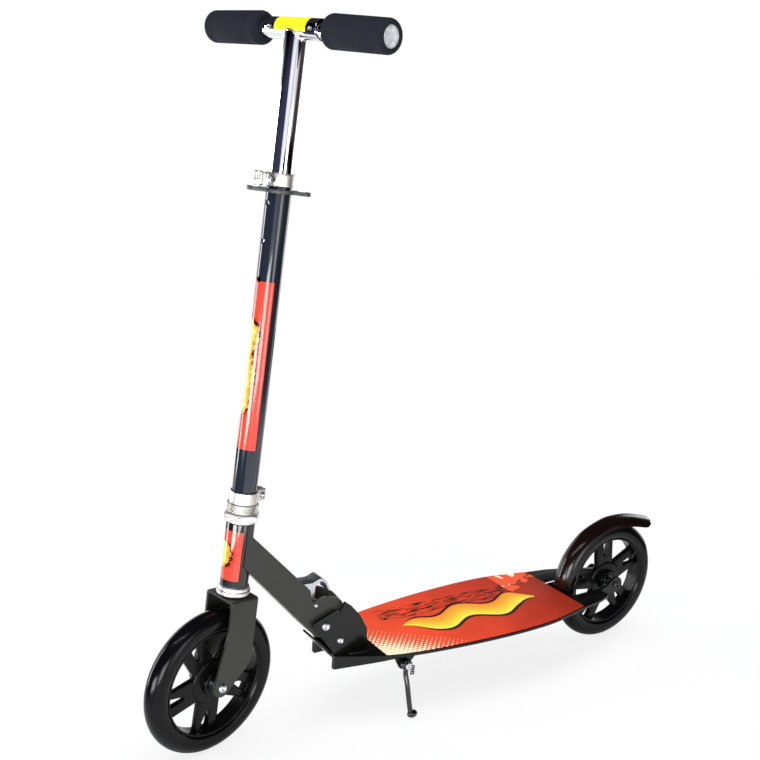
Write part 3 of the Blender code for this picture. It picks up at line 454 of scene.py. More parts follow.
def finished(tree, made, material):
    """Ends a tree: its copies become real points and take their finish."""
    real = node(tree, "GeometryNodeRealizeInstances", {"Geometry": made})
    painted = node(tree, "GeometryNodeSetMaterial", {"Geometry": real, "Material": material})
    node(tree, "NodeGroupOutput", {"Geometry": painted})
    return tree


def grown(shape, tree, material, **inputs):
    """A bmesh of what a tree makes from a shape, its inputs set through the identifiers of their sockets."""
    seed = piece("seed", shape, material)
    modifier = seed.modifiers.new("tree", "NODES")
    modifier.node_group = tree
    values = {**inputs, "Material": material}
    for socket in tree.interface.items_tree:
        if socket.in_out == "INPUT" and socket.name in values:
            modifier[socket.identifier] = values[socket.name]
    return from_object(seed)


# %% Copies round an axis
def ring_tree():
    tree, given = new_tree("copies_round_an_axis", Count="Int")
    single = node(tree, "GeometryNodeGeometryToInstance", {"Geometry": given["Geometry"]})
    copies = node(tree, "GeometryNodeDuplicateElements",
                  {"Geometry": single, "Amount": given["Count"]}, domain="INSTANCE")
    share = node(tree, "ShaderNodeMath", {0: copies.outputs["Duplicate Index"], 1: given["Count"]},
                 operation="DIVIDE")
    angle = node(tree, "ShaderNodeMath", {0: share, 1: FULL_TURN}, operation="MULTIPLY")
    turn = node(tree, "FunctionNodeAxisAngleToRotation", {"Axis": (0, 0, 1), "Angle": angle})
    turned = node(tree, "GeometryNodeRotateInstances",
                  {"Instances": copies, "Rotation": turn})
    return finished(tree, turned, given["Material"])


RING_TREE = ring_tree()


# %% A round bar along a path, and a spring
def swept(tree, path, radius, sides, material):
    """Ends a tree with a round bar along its path."""
    section = node(tree, "GeometryNodeCurvePrimitiveCircle", {"Radius": radius, "Resolution": sides})
    bar = node(tree, "GeometryNodeCurveToMesh", {"Curve": path, "Profile Curve": section, "Fill Caps": True})
    return finished(tree, bar, material)


def bar_tree():
    tree, given = new_tree("round_bar_along_a_path", Radius="Float", Sides="Int")
    path = node(tree, "GeometryNodeMeshToCurve", {"Mesh": given["Geometry"]})
    return swept(tree, path, given["Radius"], given["Sides"], given["Material"])


def spring_tree():
    tree, given = new_tree("wound_spring", Turns="Float", Radius="Float", Length="Float", Wire="Float")
    path = node(tree, "GeometryNodeCurveSpiral",
                {"Resolution": 32, "Rotations": given["Turns"], "Start Radius": given["Radius"],
                 "End Radius": given["Radius"], "Height": given["Length"]})
    return swept(tree, path, given["Wire"], 10, given["Material"])


BAR_TREE = bar_tree()
SPRING_TREE = spring_tree()


def path_shape(points, closed=False):
    """A bmesh of nothing but the edges of a path."""
    shape = bmesh.new()
    spots = [shape.verts.new(point) for point in points]
    for here, there in zip(spots, spots[1:] + spots[:1] if closed else spots[1:]):
        shape.edges.new((here, there))
    return shape


def make_spring(source, centre, radius, wire, length, turns, material, axis=Matrix()):
    """A wound spring whose middle is at the centre, in the upright scooter's coordinates."""
    shape = grown(bmesh.new(), SPRING_TREE, material, Turns=turns, Radius=radius, Length=length, Wire=wire)
    at = STANCE @ shift(centre) @ axis @ shift((0, 0, -length / 2))
    return stands_for(piece(f"wound_{source}", shape, material, at), source)


print("trees:", [tree.name for tree in bpy.data.node_groups])

# %% [markdown]
# ## Tyres
#
# A scooter tyre of this size is cast polyurethane: a hard, glossy ring with a round tread and no pattern.
# It is a body of revolution, so its cross-section is drawn once and turned round the axle. A small step
# on each side is the lip of the mould.

# %% Tyres
TYRE_HALF_WIDTH = 0.015
# The CAD tyre has flat facets, so this finer circle is drawn a little smaller and stays within its size.
FACET_DEPTH = 0.00075


def make_tyre(end, placed):
    centre = WHEEL_RADIUS - TYRE_HALF_WIDTH - FACET_DEPTH
    crown = arc((centre, 0), TYRE_HALF_WIDTH, 90, -90, 24)
    near = [(0.0790, 0.0147), (0.0762, 0.0139), (0.0748, 0.0130), (0.0741, 0.0119), (0.0735, 0.0112)]
    section = crown + [(r, -h) for r, h in near] + list(reversed(near))
    return stands_for(piece(f"{end}_tyre_ring", lathe(section, 180), CAST_PU, placed), f"{end}_tyre")


for end, placed in (("front", FRONT_HUB), ("rear", REAR_HUB)):
    make_tyre(end, placed)

# %% [markdown]
# ## Wheel cores
#
# The nylon core has five arms that fork into two spokes each, so ten thin spokes reach the rim. Moulded
# spokes have rounded sides, because a sharp edge would crack. One arm is drawn as a plate with well
# rounded edges and a slot between its spokes, and the ring tree makes five of it.

# %% Wheel cores
SPOKE_PAIRS = 5
SPOKE_ROOT, SPOKE_TIP = 0.0300, 0.0716
RIM_INNER, RIM_OUTER, RIM_HALF = 0.0702, 0.0732, 0.0120
HUB_HALF = 0.0140
BEARING_R, BEARING_END = 0.0110, 0.0070
FRONT_SPOKES, REAR_SPOKES = radians(55.5), radians(10.0)
ARM_HALF = 0.0044


def polar(radius, angle):
    return (radius * cos(radians(angle)), radius * sin(radians(angle)))


def make_core(end, placed, turn):
    outline = fillet([(*polar(SPOKE_ROOT, -35.6), 0.002), *arc((0, 0), SPOKE_TIP, -14.6, 14.6, 12),
                      (*polar(SPOKE_ROOT, 35.6), 0.002), polar(0.0120, 20), polar(0.0120, -20)])
    slot = fillet([(*polar(0.0400, 0), 0.0020), *reversed(arc((0, 0), SPOKE_TIP, -9.4, 9.4, 8))])
    arm = plate(outline, -ARM_HALF, ARM_HALF, 0.0022, [slot])
    arms = grown(arm, RING_TREE, GLASS_NYLON, Count=SPOKE_PAIRS)
    rim = lathe(fillet([
        (RIM_OUTER, RIM_HALF, 0.0006), (RIM_OUTER, -RIM_HALF, 0.0006), (RIM_INNER, -RIM_HALF, 0.0014),
        (RIM_INNER + 0.0004, 0.0, 0.004), (RIM_INNER, RIM_HALF, 0.0014)], 4), 144)
    disc = lathe(fillet([
        (0.0312, 0.0062, 0.004), (0.0312, -0.0062, 0.004), (0.0112, -0.0068), (0.0112, 0.0068)], 4))
    hub = lathe(fillet([
        (0.0172, HUB_HALF, 0.0018), (0.0178, 0.0068), (0.0178, -0.0068), (0.0172, -HUB_HALF, 0.0018),
        (BEARING_R, -HUB_HALF, 0.0005), (BEARING_R, -BEARING_END), (0.0085, -BEARING_END),
        (0.0085, BEARING_END), (BEARING_R, BEARING_END), (BEARING_R, HUB_HALF, 0.0005)], 3), 72)
    spun = placed @ Matrix.Rotation(-turn, 4, "Z")
    core = piece(f"{end}_spoked_core", merged(arms, rim, disc, hub), GLASS_NYLON, spun)
    return stands_for(core, f"{end}_core")


for end, placed, turn in (("front", FRONT_HUB, FRONT_SPOKES), ("rear", REAR_HUB, REAR_SPOKES)):
    make_core(end, placed, turn)

# %% [markdown]
# ## Bearings, spacers and bolts
#
# A wheel turns on two shielded ball bearings, and tubular spacers keep it in the middle of its fork. The
# bolts have a domed head with a hexagon socket and a hexagon nut. All are turned shapes: a ring with flat
# sides in its profile gives the socket and the nut, so head, shank and nut are one closed body.

# %% Bearings and spacers
SEAL_INNER, SEAL_OUTER, SEAL_PLANE = 0.0066, 0.0091, 0.0130


def make_bearing(end, label, side, placed):
    """A bearing: steel outer and inner rings, and between them a sunk rubber seal."""
    near, far = side * HUB_HALF, side * BEARING_END
    face = [(0.0107, near - side * 0.0004), (0.0104, near), (0.0094, near), (0.0092, near - side * 0.0006),
            (0.0064, near - side * 0.0006), (0.0062, near), (0.0046, near), (0.0043, near - side * 0.0004)]
    shape = lathe(face + [(0.0043, far), (0.0107, far)], 64)
    for patch in shape.faces:
        middle = patch.calc_center_median()
        if SEAL_INNER < sqrt(middle.x ** 2 + middle.y ** 2) < SEAL_OUTER and side * middle.z > SEAL_PLANE:
            patch.material_index = 1
    source = f"{end}_bearing_{label}"
    made = stands_for(piece(f"sealed_{source}", shape, GROUND_STEEL, placed), source)
    made.data.materials.append(SEAL_RUBBER)
    return made


def make_spacer(source, low, high, placed, material):
    shape = lathe(pipe_profile(0.0070, 0.0043, low, high, 0.0006), 48)
    return stands_for(piece(f"turned_{source}", shape, material, placed), source)


for side, label in ((1, "left"), (-1, "right")):
    for end, placed, fork_inner, material in (("front", FRONT_HUB, 0.0230, ZINC_PLATE),
                                              ("rear", REAR_HUB, 0.0263, POWDER_COAT)):
        make_bearing(end, label, side, placed)
        low, high = sorted((side * (HUB_HALF + GAP), side * (fork_inner - GAP)))
        make_spacer(f"{end}_spacer_{label}", low, high, placed, material)

# %% Bolts
def make_bolt(source, half_length, shank, head, placed, material):
    """A domed socket bolt along the local Z, its head up and its nut below."""
    top, low = half_length + GAP, -half_length - GAP
    socket, across = head * 0.40, head * 1.1
    profile = [(0, top + 0.0012), (socket, top + 0.0014, 6), (socket, top + 0.0030, 6)]
    profile += [(head * 0.62, top + 0.0035), (head * 0.78, top + 0.0030), (head * 0.93, top + 0.0018)]
    profile += [(head, top + 0.0006), (head * 0.99, top), (shank, top), (shank, low)]
    profile += [(across * 0.86, low), (across, low - 0.0005, 6), (across, low - 0.0045, 6)]
    profile += [(across * 0.86, low - 0.0050), (shank, low - 0.0050), (shank * 0.86, low - 0.0057)]
    profile += [(0, low - 0.0057)]
    return stands_for(piece(f"domed_{source}", lathe(profile, 72), material, placed), source)


PIVOT = STANCE @ shift((-0.161, 0, 0.150)) @ ALONG_Y
STOP = STANCE @ shift((-0.1855, 0, 0.1237)) @ ALONG_Y
CLAMP_EARS = STEER @ shift((-0.0250, 0, 0.2492)) @ ALONG_Y
# The name, half the length, the radii of the shank and the head, the place and the finish of each.
bolts = (
    ("front_axle_bolt", 0.0265, 0.0040, 0.0062, FRONT_HUB, ZINC_PLATE),
    ("rear_axle_bolt", 0.0298, 0.0040, 0.0062, REAR_HUB, POWDER_COAT),
    ("pivot_bolt", 0.0263, 0.0050, 0.0062, PIVOT, ZINC_PLATE),
    ("stop_bolt", 0.0263, 0.0040, 0.0050, STOP, ZINC_PLATE),
    ("column_clamp_bolt", 0.0071, 0.0022, 0.0042, CLAMP_EARS, ZINC_PLATE),
)
for bolt in bolts:
    make_bolt(*bolt)

# %% [markdown]
# ## Handlebar
#
# The T-bar is a chromed cross tube, 25.4 mm thick, welded on top of a 28 mm stem. Chrome shows every
# facet, so both tubes are turned in fine steps. The weld is a small round bead that follows the joint; the
# bar tree lays it along that path. Spring buttons show through round holes, which are cut out.

# %% Handlebar
BAR_HEIGHT = 0.8235
CROSSBAR_R, CROSSBAR_BORE, CROSSBAR_HALF = 0.0127, 0.01145, 0.0440
STEM_R, STEM_LOW = 0.0140, 0.5660
BUTTON_HEIGHT = 0.6205
GRIP_DROOP, GRIP_SAG, GRIP_PIVOT = radians(1.2), 0.0003, 0.0280
GRIP_BUTTON_Y = 0.0350
BUTTON_HOLE_R = 0.0034
WELD_R, WELD_LEAST_DROP, WELD_POINTS = 0.0142, 0.0030, 72
BAR = STEER @ shift((0, 0, BAR_HEIGHT)) @ ALONG_Y
FACING_AHEAD = Matrix.Rotation(pi / 2, 4, "Y")
grip_axis = {
    name: (STEER @ shift((0, 0, BAR_HEIGHT - GRIP_SAG + GRIP_PIVOT * sin(GRIP_DROOP)))
           @ Matrix.Rotation(-side * (pi / 2 + GRIP_DROOP), 4, "X"))
    for side, name in ((1, "left"), (-1, "right"))
}


def button_hole(placed, along):
    return rod(BUTTON_HOLE_R, 0.006, 0.022, placed @ shift((0, 0, along)) @ FACING_AHEAD)


def weld_path():
    """Where the stem's round top meets the cross tube, as seen from the steering axis."""
    points = []
    for k in range(WELD_POINTS):
        turn = FULL_TURN * k / WELD_POINTS
        x, y = WELD_R * cos(turn), WELD_R * sin(turn)
        points.append((x, y, -max(WELD_LEAST_DROP, sqrt(max(0.0, CROSSBAR_R ** 2 - x * x)))))
    return points


def make_bar():
    across = lathe(pipe_profile(CROSSBAR_R, CROSSBAR_BORE, -CROSSBAR_HALF, CROSSBAR_HALF, 0.0006), 128)
    across.transform(BAR)
    across = carved(across, *(button_hole(placed, GRIP_BUTTON_Y) for placed in grip_axis.values()))
    stem = lathe(pipe_profile(STEM_R, STEM_R - 0.0016, STEM_LOW, BAR_HEIGHT - 0.0035), 128)
    stem.transform(STEER)
    stem = carved(stem, button_hole(STEER, BUTTON_HEIGHT))
    bead = grown(path_shape(weld_path(), closed=True), BAR_TREE, CHROME_PLATE, Radius=0.0012, Sides=12)
    bead.transform(STEER @ shift((0, 0, BAR_HEIGHT)))
    return stands_for(piece("chromed_t_bar", merged(across, stem, bead), CHROME_PLATE), "t_bar")


make_bar()

# %% [markdown]
# ## Spring buttons
#
# A spring button is a round-nosed pin on a wide foot. The foot stays in the tube and the nose stands in
# the hole, where it looks like a bright dot in a dark ring.

# %% Spring buttons
def make_button(source, tip, neck, shoulder, low, placed):
    nose = [(0.003 * sin(radians(a)), tip - 0.0014 * (1 - cos(radians(a)))) for a in range(0, 91, 15)]
    profile = nose + [(0.0030, neck), (0.0048, shoulder), (0.0048, low), (0, low)]
    return stands_for(piece(f"domed_{source}", lathe(profile, 40), ZINC_PLATE, placed), source)


make_button("height_button", 0.01405, 0.0120, 0.0106, 0.0092,
            STEER @ shift((0, 0, BUTTON_HEIGHT)) @ FACING_AHEAD)
for name, axis in grip_axis.items():
    make_button(f"grip_button_{name}", 0.0105, 0.0079, 0.0070, 0.0058,
                       axis @ shift((0, 0, GRIP_BUTTON_Y)) @ FACING_AHEAD)

# %% [markdown]
# ## Grips
#
# Each grip is a chromed tube that pulls out of the crossbar, with a foam sleeve and an end plug. Foam is
# softer than anything else here: its ends are round, it tapers a little, and it keeps shallow rings where
# it was squeezed in the mould. The tube hangs in its clearance, so the grip droops by about one degree.

# %% Grips
GRIP_BAR_R, GRIP_BAR_BORE = 0.0105, 0.0089
GRIP_BAR_IN, GRIP_BAR_OUT = 0.0030, 0.1475
FOAM_R, FOAM_TIP_R = 0.0201, 0.0196
FOAM_IN, FOAM_OUT = 0.0575, 0.1543


def foam_outline():
    """The sleeve's wall: a round nose at each end, a taper, and two shallow rings near each end."""
    nose, seat, bore = 0.0062, GRIP_BAR_OUT + GAP, GRIP_BAR_R + GAP
    section = arc((FOAM_TIP_R - nose, FOAM_OUT - nose), nose, 90, 0, 12)
    for at in (0.1425, 0.1375, 0.0745, 0.0695):
        radius = FOAM_R + (FOAM_TIP_R - FOAM_R) * (at - FOAM_IN) / (FOAM_OUT - FOAM_IN)
        section += [(radius, at + 0.0012), (radius - 0.0004, at + 0.0004), (radius - 0.0004, at - 0.0004),
                    (radius, at - 0.0012)]
    section += arc((FOAM_R - nose, FOAM_IN + nose), nose, 0, -90, 12)
    return section + [(bore, FOAM_IN), (bore, seat), (0.0133, seat), (0.0133, FOAM_OUT - 0.0002)]


def make_grip(name, axis):
    foam = piece(f"foam_sleeve_{name}", lathe(foam_outline(), 96), FOAM_RUBBER, axis)
    stands_for(foam, f"foam_grip_{name}")
    spigot, seat = GRIP_BAR_BORE - GAP, GRIP_BAR_OUT + GAP
    plug = fillet([
        (0, 0.1517), (0.0068, 0.1517, 0.0004), (0.0074, 0.1524, 0.0004), (0.0106, 0.1527, 0.0006),
        (0.0130, 0.1520, 0.0012), (0.0130, seat), (spigot, seat), (spigot, 0.1375), (0, 0.1375)], 4)
    stands_for(piece(f"end_plug_{name}", lathe(plug, 64), GREY_ABS, axis), f"grip_plug_{name}")
    pipe = carved(lathe(pipe_profile(GRIP_BAR_R, GRIP_BAR_BORE, GRIP_BAR_IN, GRIP_BAR_OUT), 96),
                  button_hole(Matrix(), GRIP_BUTTON_Y))
    stands_for(piece(f"chromed_grip_tube_{name}", pipe, CHROME_PLATE, axis), f"grip_bar_{name}")
    return foam


for name, axis in grip_axis.items():
    make_grip(name, axis)

# %% [markdown]
# ## Yellow band
#
# A strip of plain vinyl film is wrapped over the front of the crossbar. It is a part of a turned ring that
# stands two tenths of a millimetre proud, so that its edge catches a thin line of light.

# %% Yellow band
BAND_HALF = 0.0270
BAND_OUTER, BAND_INNER = CROSSBAR_R + 0.0002, CROSSBAR_R - 0.0001
band = lathe([(BAND_OUTER, BAND_HALF), (BAND_OUTER, -BAND_HALF), (BAND_INNER, -BAND_HALF),
              (BAND_INNER, BAND_HALF)], 64, radians(-100), radians(20))
made = piece("yellow_band", band, YELLOW_VINYL, BAR)
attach(made, "handlebar")
tell(made)

# %% [markdown]
# ## Printed film on the tubes
#
# The column and the head tube carry a printed film in red, orange and yellow. It is a pattern in the
# paint: the shader reads the height and the angle round the steering axis, and a colour ramp turns the
# distance from a waving line into a flame with a dark edge. Noise tears the line. The design is generic.

# %% Coordinates of a placed part
def local(tree, placed):
    """Object coordinates seen from a placed part: its own X, Y and Z in metres."""
    inverse = placed.inverted()
    at = node(tree, "ShaderNodeTexCoord").outputs["Object"]
    return node(tree, "ShaderNodeMapping", {"Vector": at, "Location": inverse.translation,
                                            "Rotation": inverse.to_euler()})


# %% Printed film on the tubes
FILM_HALF_TURN = radians(77)
TEARS_PER_M = 160.0
FLAME_SWAY, FLAME_TEAR, FLAME_END = 0.16, 0.9, 1.3
# The flame ends between these shares of the film's height, counted from its middle.
END_FROM, END_TO = 0.24, 0.34
FLAME = ((0.0, "F4764A"), (0.25, "FBC186"), (0.42, "FDD777"), (0.55, "F8A93E"), (0.655, "EE7A2C"),
         (0.665, "2C120B"), (0.745, "2C120B"), (0.755, "D83626"), (1.0, "EA4434"))


def film_on_tube(name, paint, low, high, waves, placed):
    """
    Gloss enamel with a printed film between two heights, within FILM_HALF_TURN of straight ahead: red
    blocks at its ends, and between them a pale flame with a torn dark edge that waves up the tube.
    """
    made, tree, shader = blank_finish(name)
    xyz = node(tree, "ShaderNodeSeparateXYZ", {0: local(tree, placed)})
    height = node(tree, "ShaderNodeMapRange",
                  {"Value": xyz.outputs["Z"], "From Min": low, "From Max": high}, clamp=False)
    around = node(tree, "ShaderNodeMath", {0: xyz.outputs["Y"], 1: xyz.outputs["X"]}, operation="ARCTAN2")
    in_width = node(tree, "ShaderNodeMath", {0: around, 1: 0.0, 2: FILM_HALF_TURN}, operation="COMPARE")
    in_height = node(tree, "ShaderNodeMath", {0: height, 1: 0.5, 2: 0.5}, operation="COMPARE")
    in_film = node(tree, "ShaderNodeMath", {0: in_width, 1: in_height}, operation="MULTIPLY")

    turns = node(tree, "ShaderNodeMath", {0: height, 1: waves * FULL_TURN}, operation="MULTIPLY")
    sway = node(tree, "ShaderNodeMath", {0: turns}, operation="SINE")
    wave = node(tree, "ShaderNodeMath", {0: sway, 1: FLAME_SWAY, 2: around}, operation="MULTIPLY_ADD")
    at = node(tree, "ShaderNodeTexCoord").outputs["Object"]
    tears = node(tree, "ShaderNodeTexNoise", {"Vector": at, "Scale": TEARS_PER_M, "Detail": 1.0})
    torn = node(tree, "ShaderNodeMath", {0: tears, 1: FLAME_TEAR, 2: wave}, operation="MULTIPLY_ADD")
    end_off = node(tree, "ShaderNodeMath", {0: height, 1: 0.5}, operation="SUBTRACT")
    from_middle = node(tree, "ShaderNodeMath", {0: end_off}, operation="ABSOLUTE")
    taper = node(tree, "ShaderNodeMapRange", {"Value": from_middle, "From Min": END_FROM,
                                              "From Max": END_TO, "To Min": 0.0, "To Max": FLAME_END})
    reach = node(tree, "ShaderNodeMath", {0: torn, 1: taper}, operation="ADD")
    crest = node(tree, "ShaderNodeMapRange", {"Value": reach, "From Min": -0.6, "From Max": 1.6})
    flame = node(tree, "ShaderNodeValToRGB", {"Fac": crest}, stops=FLAME)
    print_on = node(tree, "ShaderNodeMix", {"Factor": in_film, "A": linear(paint), "B": flame},
                    data_type="RGBA")
    join(tree, shader, {"Base Color": print_on, "Roughness": 0.12, "Coat Weight": 0.4})
    return made


# Gloss enamel and film look alike in reflections; the film's inks are bright and a little warm.
COLUMN_FILM = film_on_tube("printed_column_film", "1C222C", 0.314, 0.526, 4.0, STEER)
HEAD_FILM = film_on_tube("printed_head_film", "161715", 0.140, 0.206, 1.5, HEAD)

# %% [markdown]
# ## Column, head tube and headset
#
# Steel tubes have a constant radius, so they are turned too. The column has three holes on its front for
# the height button. The headset's cups and the ridged lock ring are chromed, and grease hides the balls.

# %% Tubes
COLUMN_LOW, COLUMN_TOP = 0.2443, 0.6528
COLUMN_R, COLUMN_BORE = 0.0159, 0.01435
HEIGHT_HOLES, HEIGHT_HOLE_R = (0.6205, 0.5740, 0.5275), 0.0036
hole_cutters = [rod(HEIGHT_HOLE_R, 0.008, 0.022, shift((0, 0, at)) @ FACING_AHEAD) for at in HEIGHT_HOLES]
column = carved(lathe(pipe_profile(COLUMN_R, COLUMN_BORE, COLUMN_LOW, COLUMN_TOP), 128), *hole_cutters)
stands_for(piece("column_tube", column, COLUMN_FILM, STEER), "steering_column")
sleeve = lathe(pipe_profile(0.0184, 0.0164, 0.1311, 0.2160), 128)
stands_for(piece("head_sleeve", sleeve, HEAD_FILM, HEAD), "head_tube")

# %% Headset rings
RIDGES_R, RIDGE_DEPTH = 0.0202, 0.0012
LOCK_TOP, LOCK_HEIGHT, LOCK_STEPS = 0.2408, 0.0105, 40
# The lower cup is painted with the head tube above this height and bare below it.
PAINT_LOW = 0.1243
ridges = [(RIDGES_R - RIDGE_DEPTH * (0.5 - 0.5 * cos(radians(k * 45))),
           LOCK_TOP - LOCK_HEIGHT * k / LOCK_STEPS) for k in range(LOCK_STEPS + 1)]
rings = (
    ("lower_race", "lower_cup", HEAD, SATIN_CHROME, fillet([
        (0.0184, 0.1308, 0.0003), (0.0203, 0.1290, 0.0008), (0.0207, 0.1250), (0.0220, 0.1242, 0.0004),
        (0.0220, 0.1192, 0.0006), (0.0204, 0.1192),
        (0.0204, 0.1268), (0.0160, 0.1268), (0.0160, 0.1308)], 3)),
    ("upper_race", "upper_cup", HEAD, SATIN_CHROME, fillet([
        (0.0205, 0.2205, 0.0004), (0.0205, 0.2175, 0.0006), (0.0184, 0.2163, 0.0003), (0.0160, 0.2163),
        (0.0160, 0.2178), (0.0190, 0.2178), (0.0190, 0.2205)], 3)),
    ("lower_ball_ring", "lower_bearing", HEAD, GROUND_STEEL,
     pipe_profile(0.0200, 0.0144, 0.1198, 0.1265, 0.0008)),
    ("upper_ball_ring", "upper_bearing", HEAD, GROUND_STEEL,
     pipe_profile(0.0187, 0.0144, 0.2181, 0.2204, 0.0004)),
    ("ridged_lock_ring", "lock_ring", STEER, SATIN_CHROME,
     ridges + [(COLUMN_BORE, LOCK_TOP - LOCK_HEIGHT), (COLUMN_BORE, LOCK_TOP)]),
)
for name, source, placed, material, profile in rings:
    shape = lathe(profile, 96)
    for patch in shape.faces:
        if name == "lower_race" and patch.calc_center_median().z > PAINT_LOW:
            patch.material_index = 1
    made = stands_for(piece(name, shape, material, placed), source)
    made.data.materials.append(POWDER_COAT)

# %% [markdown]
# ## Clamps, quick release and clip plate
#
# Two slit collars hold the column, each a casting with a pair of ears for a bolt. The upper one is closed
# by a cam: its lever wraps round the collar and pulls the skewer when it is pressed home. Below it sits a
# nylon plate with two open clips, where the loose grips are kept when the scooter is folded.

# %% Clamps
def split_collar(side, radius, reach, low_y, high_y):
    """A slit collar with two clamp ears, as an outline; side is 1 for ears in front and -1 behind."""
    bore, slit = 0.0162, 0.0008
    ears = [(reach, high_y, 0.0025), *arc((0, 0), radius, degrees(asin(high_y / radius)),
                                          360 + degrees(asin(low_y / radius)), 60), (reach, low_y, 0.0025)]
    gap = degrees(asin(slit / bore))
    outline = fillet([(reach, slit), *ears, (reach, -slit), *arc((0, 0), bore, 360 - gap, gap, 64)])
    return [(side * x, y) for x, y in outline]


def make_clamps():
    lower = carved(plate(split_collar(-1, 0.0182, 0.0310, -0.0068, 0.0068), 0.2413, 0.2570, 0.0008),
                   rod(0.0025, -0.02, 0.02, shift((-0.0250, 0, 0.2492)) @ ALONG_Y))
    stands_for(piece("cast_column_clamp", lower, SATIN_CHROME, STEER), "column_clamp")
    upper = carved(plate(split_collar(1, 0.0178, 0.0276, -0.0062, 0.0085), 0.6413, 0.6556, 0.0008),
                   rod(0.0030, -0.02, 0.02, shift((0.0222, 0, 0.6488)) @ ALONG_Y))
    lip = lathe(pipe_profile(0.0170, 0.01435, 0.6531, 0.6565), 96, radians(4), radians(356))
    return stands_for(piece("cast_upper_clamp", merged(upper, lip), SATIN_CHROME, STEER), "upper_clamp")


make_clamps()

# %% Quick release
SKEWER = (0.0222, -0.0142, 0.6488)


def make_quick_release():
    x, y, z = SKEWER
    at = shift((x, y, 0))
    skewer = rod(0.0024, y, 0.0090, shift((x, 0, z)) @ ALONG_Y)
    knob = lathe(fillet([(0, 0.0128), (0.0036, 0.0128, 0.0004), (0.0048, 0.0116, 0.0006),
                         (0.0048, 0.0088, 0.0003), (0, 0.0088)], 3), 40)
    knob.transform(shift((x, 0, z)) @ ALONG_Y)
    barrel = rod(0.0028, z - 0.0090, z + 0.0058, at)
    stands_for(piece("turned_skewer", merged(skewer, knob, barrel), ZINC_PLATE, STEER), "qr_skewer")

    outline = arc((0, 0), 0.0262, -32, -160, 48) + arc((0, 0), 0.0233, -160, -37, 48)
    blade = plate(outline, z - 0.0052, z + 0.0032, 0.0009)
    cam = lathe(fillet([(0, z + 0.0074), (0.0056, z + 0.0074, 0.0010), (0.0056, z - 0.0096, 0.0010),
                        (0, z - 0.0096)], 4), 64)
    cam.transform(at)
    slot = plate([(x, y), *arc((x, y), 0.02, -75, 140, 16)], z - 0.0028, z + 0.0028, 0.0001)
    lever = carved(merged(blade, cam), rod(0.0032, z - 0.02, z + 0.0062, at), slot)
    return stands_for(piece("cam_lever", lever, SATIN_CHROME, STEER), "qr_lever")


make_quick_release()

# %% Clip plate
CLIP_TURN = radians(145.0)


def make_clip_plate():
    seat = arc((0.0295, 0), 0.0078, 48, -228, 40)
    lobe = arc((0, 0), 0.0205, 22, 158, 32)
    half = [(0.0385, -0.0120, 0.009), (0.0385, 0.0110, 0.003), *seat, (0.0243, 0.0110), *lobe]
    other = [(-x, y) for x, y in [(0.0243, 0.0110), *reversed(seat)]]
    other += [(-0.0385, 0.0110, 0.003), (-0.0385, -0.0120, 0.009), *arc((0, 0), 0.0205, 216, 324, 24)]
    shape = plate(fillet(half + other), 0.6330, 0.6375, 0.0006, [arc((0, 0), 0.0162, 0, 354, 59)])
    placed = STEER @ Matrix.Rotation(CLIP_TURN, 4, "Z")
    return stands_for(piece("moulded_clip_plate", shape, SCUFFED_NYLON, placed), "clip_plate")


make_clip_plate()

# %% [markdown]
# ## Deck
#
# The deck is one pressed steel sheet, bowed at its sides and slotted at the rear for the wheel. Its outline
# is a smooth curve through a few widths. The tray is a plate with the underside carved out, which
# leaves the sheet and its turned-down skirt, as a press does.

# %% Deck tray
DECK_TOP, DECK_SKIRT_LOW, DECK_REAR = 0.1023, 0.0820, -0.6760
DECK_LIP = 0.0045
DECK_HALF_PLAN = (
    (-0.1760, 0.0295), (-0.2460, 0.0610), (-0.2900, 0.0718), (-0.3400, 0.0788), (-0.3900, 0.0838),
    (-0.4400, 0.0867), (-0.4900, 0.0873), (-0.5400, 0.0840), (-0.6050, 0.0715), (-0.6450, 0.0650),
)
DECK_SIDE = [(x, y) for x, y, _ in through([(*point, 0) for point in DECK_HALF_PLAN], 6)]


def mirrored(corners):
    """A whole outline from the corners of its left half."""
    return corners + [(x, -y, *rest) for x, y, *rest in reversed(corners)]


def make_deck():
    rear = [(DECK_REAR, 0.0560, 0.010), (DECK_REAR, 0.031, 0.004), (-0.6085, 0.031, 0.008)]
    tray = plate(fillet(mirrored(DECK_SIDE + rear)), DECK_SKIRT_LOW, DECK_TOP, 0.0010)
    inner = [(-0.1660, 0.0266), (-0.1770, 0.0266)] + [(x, y - 0.0022) for x, y in DECK_SIDE[4:]]
    inner += [(DECK_REAR + 0.0022, 0.052), (DECK_REAR + 0.0022, 0.0332), (-0.6063, 0.0332)]
    pocket = plate(mirrored(inner), 0.05, DECK_TOP - 0.002, 0.0001)
    below = [(-0.15, 0.06), (-0.15, DECK_SKIRT_LOW - DECK_LIP), (-0.262, DECK_TOP - DECK_LIP),
             (-0.7, DECK_TOP - DECK_LIP), (-0.7, 0.06)]
    slant = plate(below, -0.12, 0.12, 0.0001)
    slant.transform(IN_XZ)
    return stands_for(piece("pressed_deck", carved(tray, pocket, slant), STOVE_ENAMEL, STANCE), "deck_tray")


make_deck()

# %% [markdown]
# ## Deck print
#
# A gritted film covers the deck. Its print is red, darker towards the rear, with a pale corner that breaks
# up into halftone dots, a wide yellow ribbon in the middle and rough dark strokes beside it. Each motif is
# a few sums on the place along and across the deck, and each one is mixed over the last.

# %% Deck print
FILM_FRONT, FILM_REAR = -0.2435, -0.6075
CLOUDS_PER_M, DOTS_PER_M, FLECKS_PER_M = 22.0, 165.0, 60.0
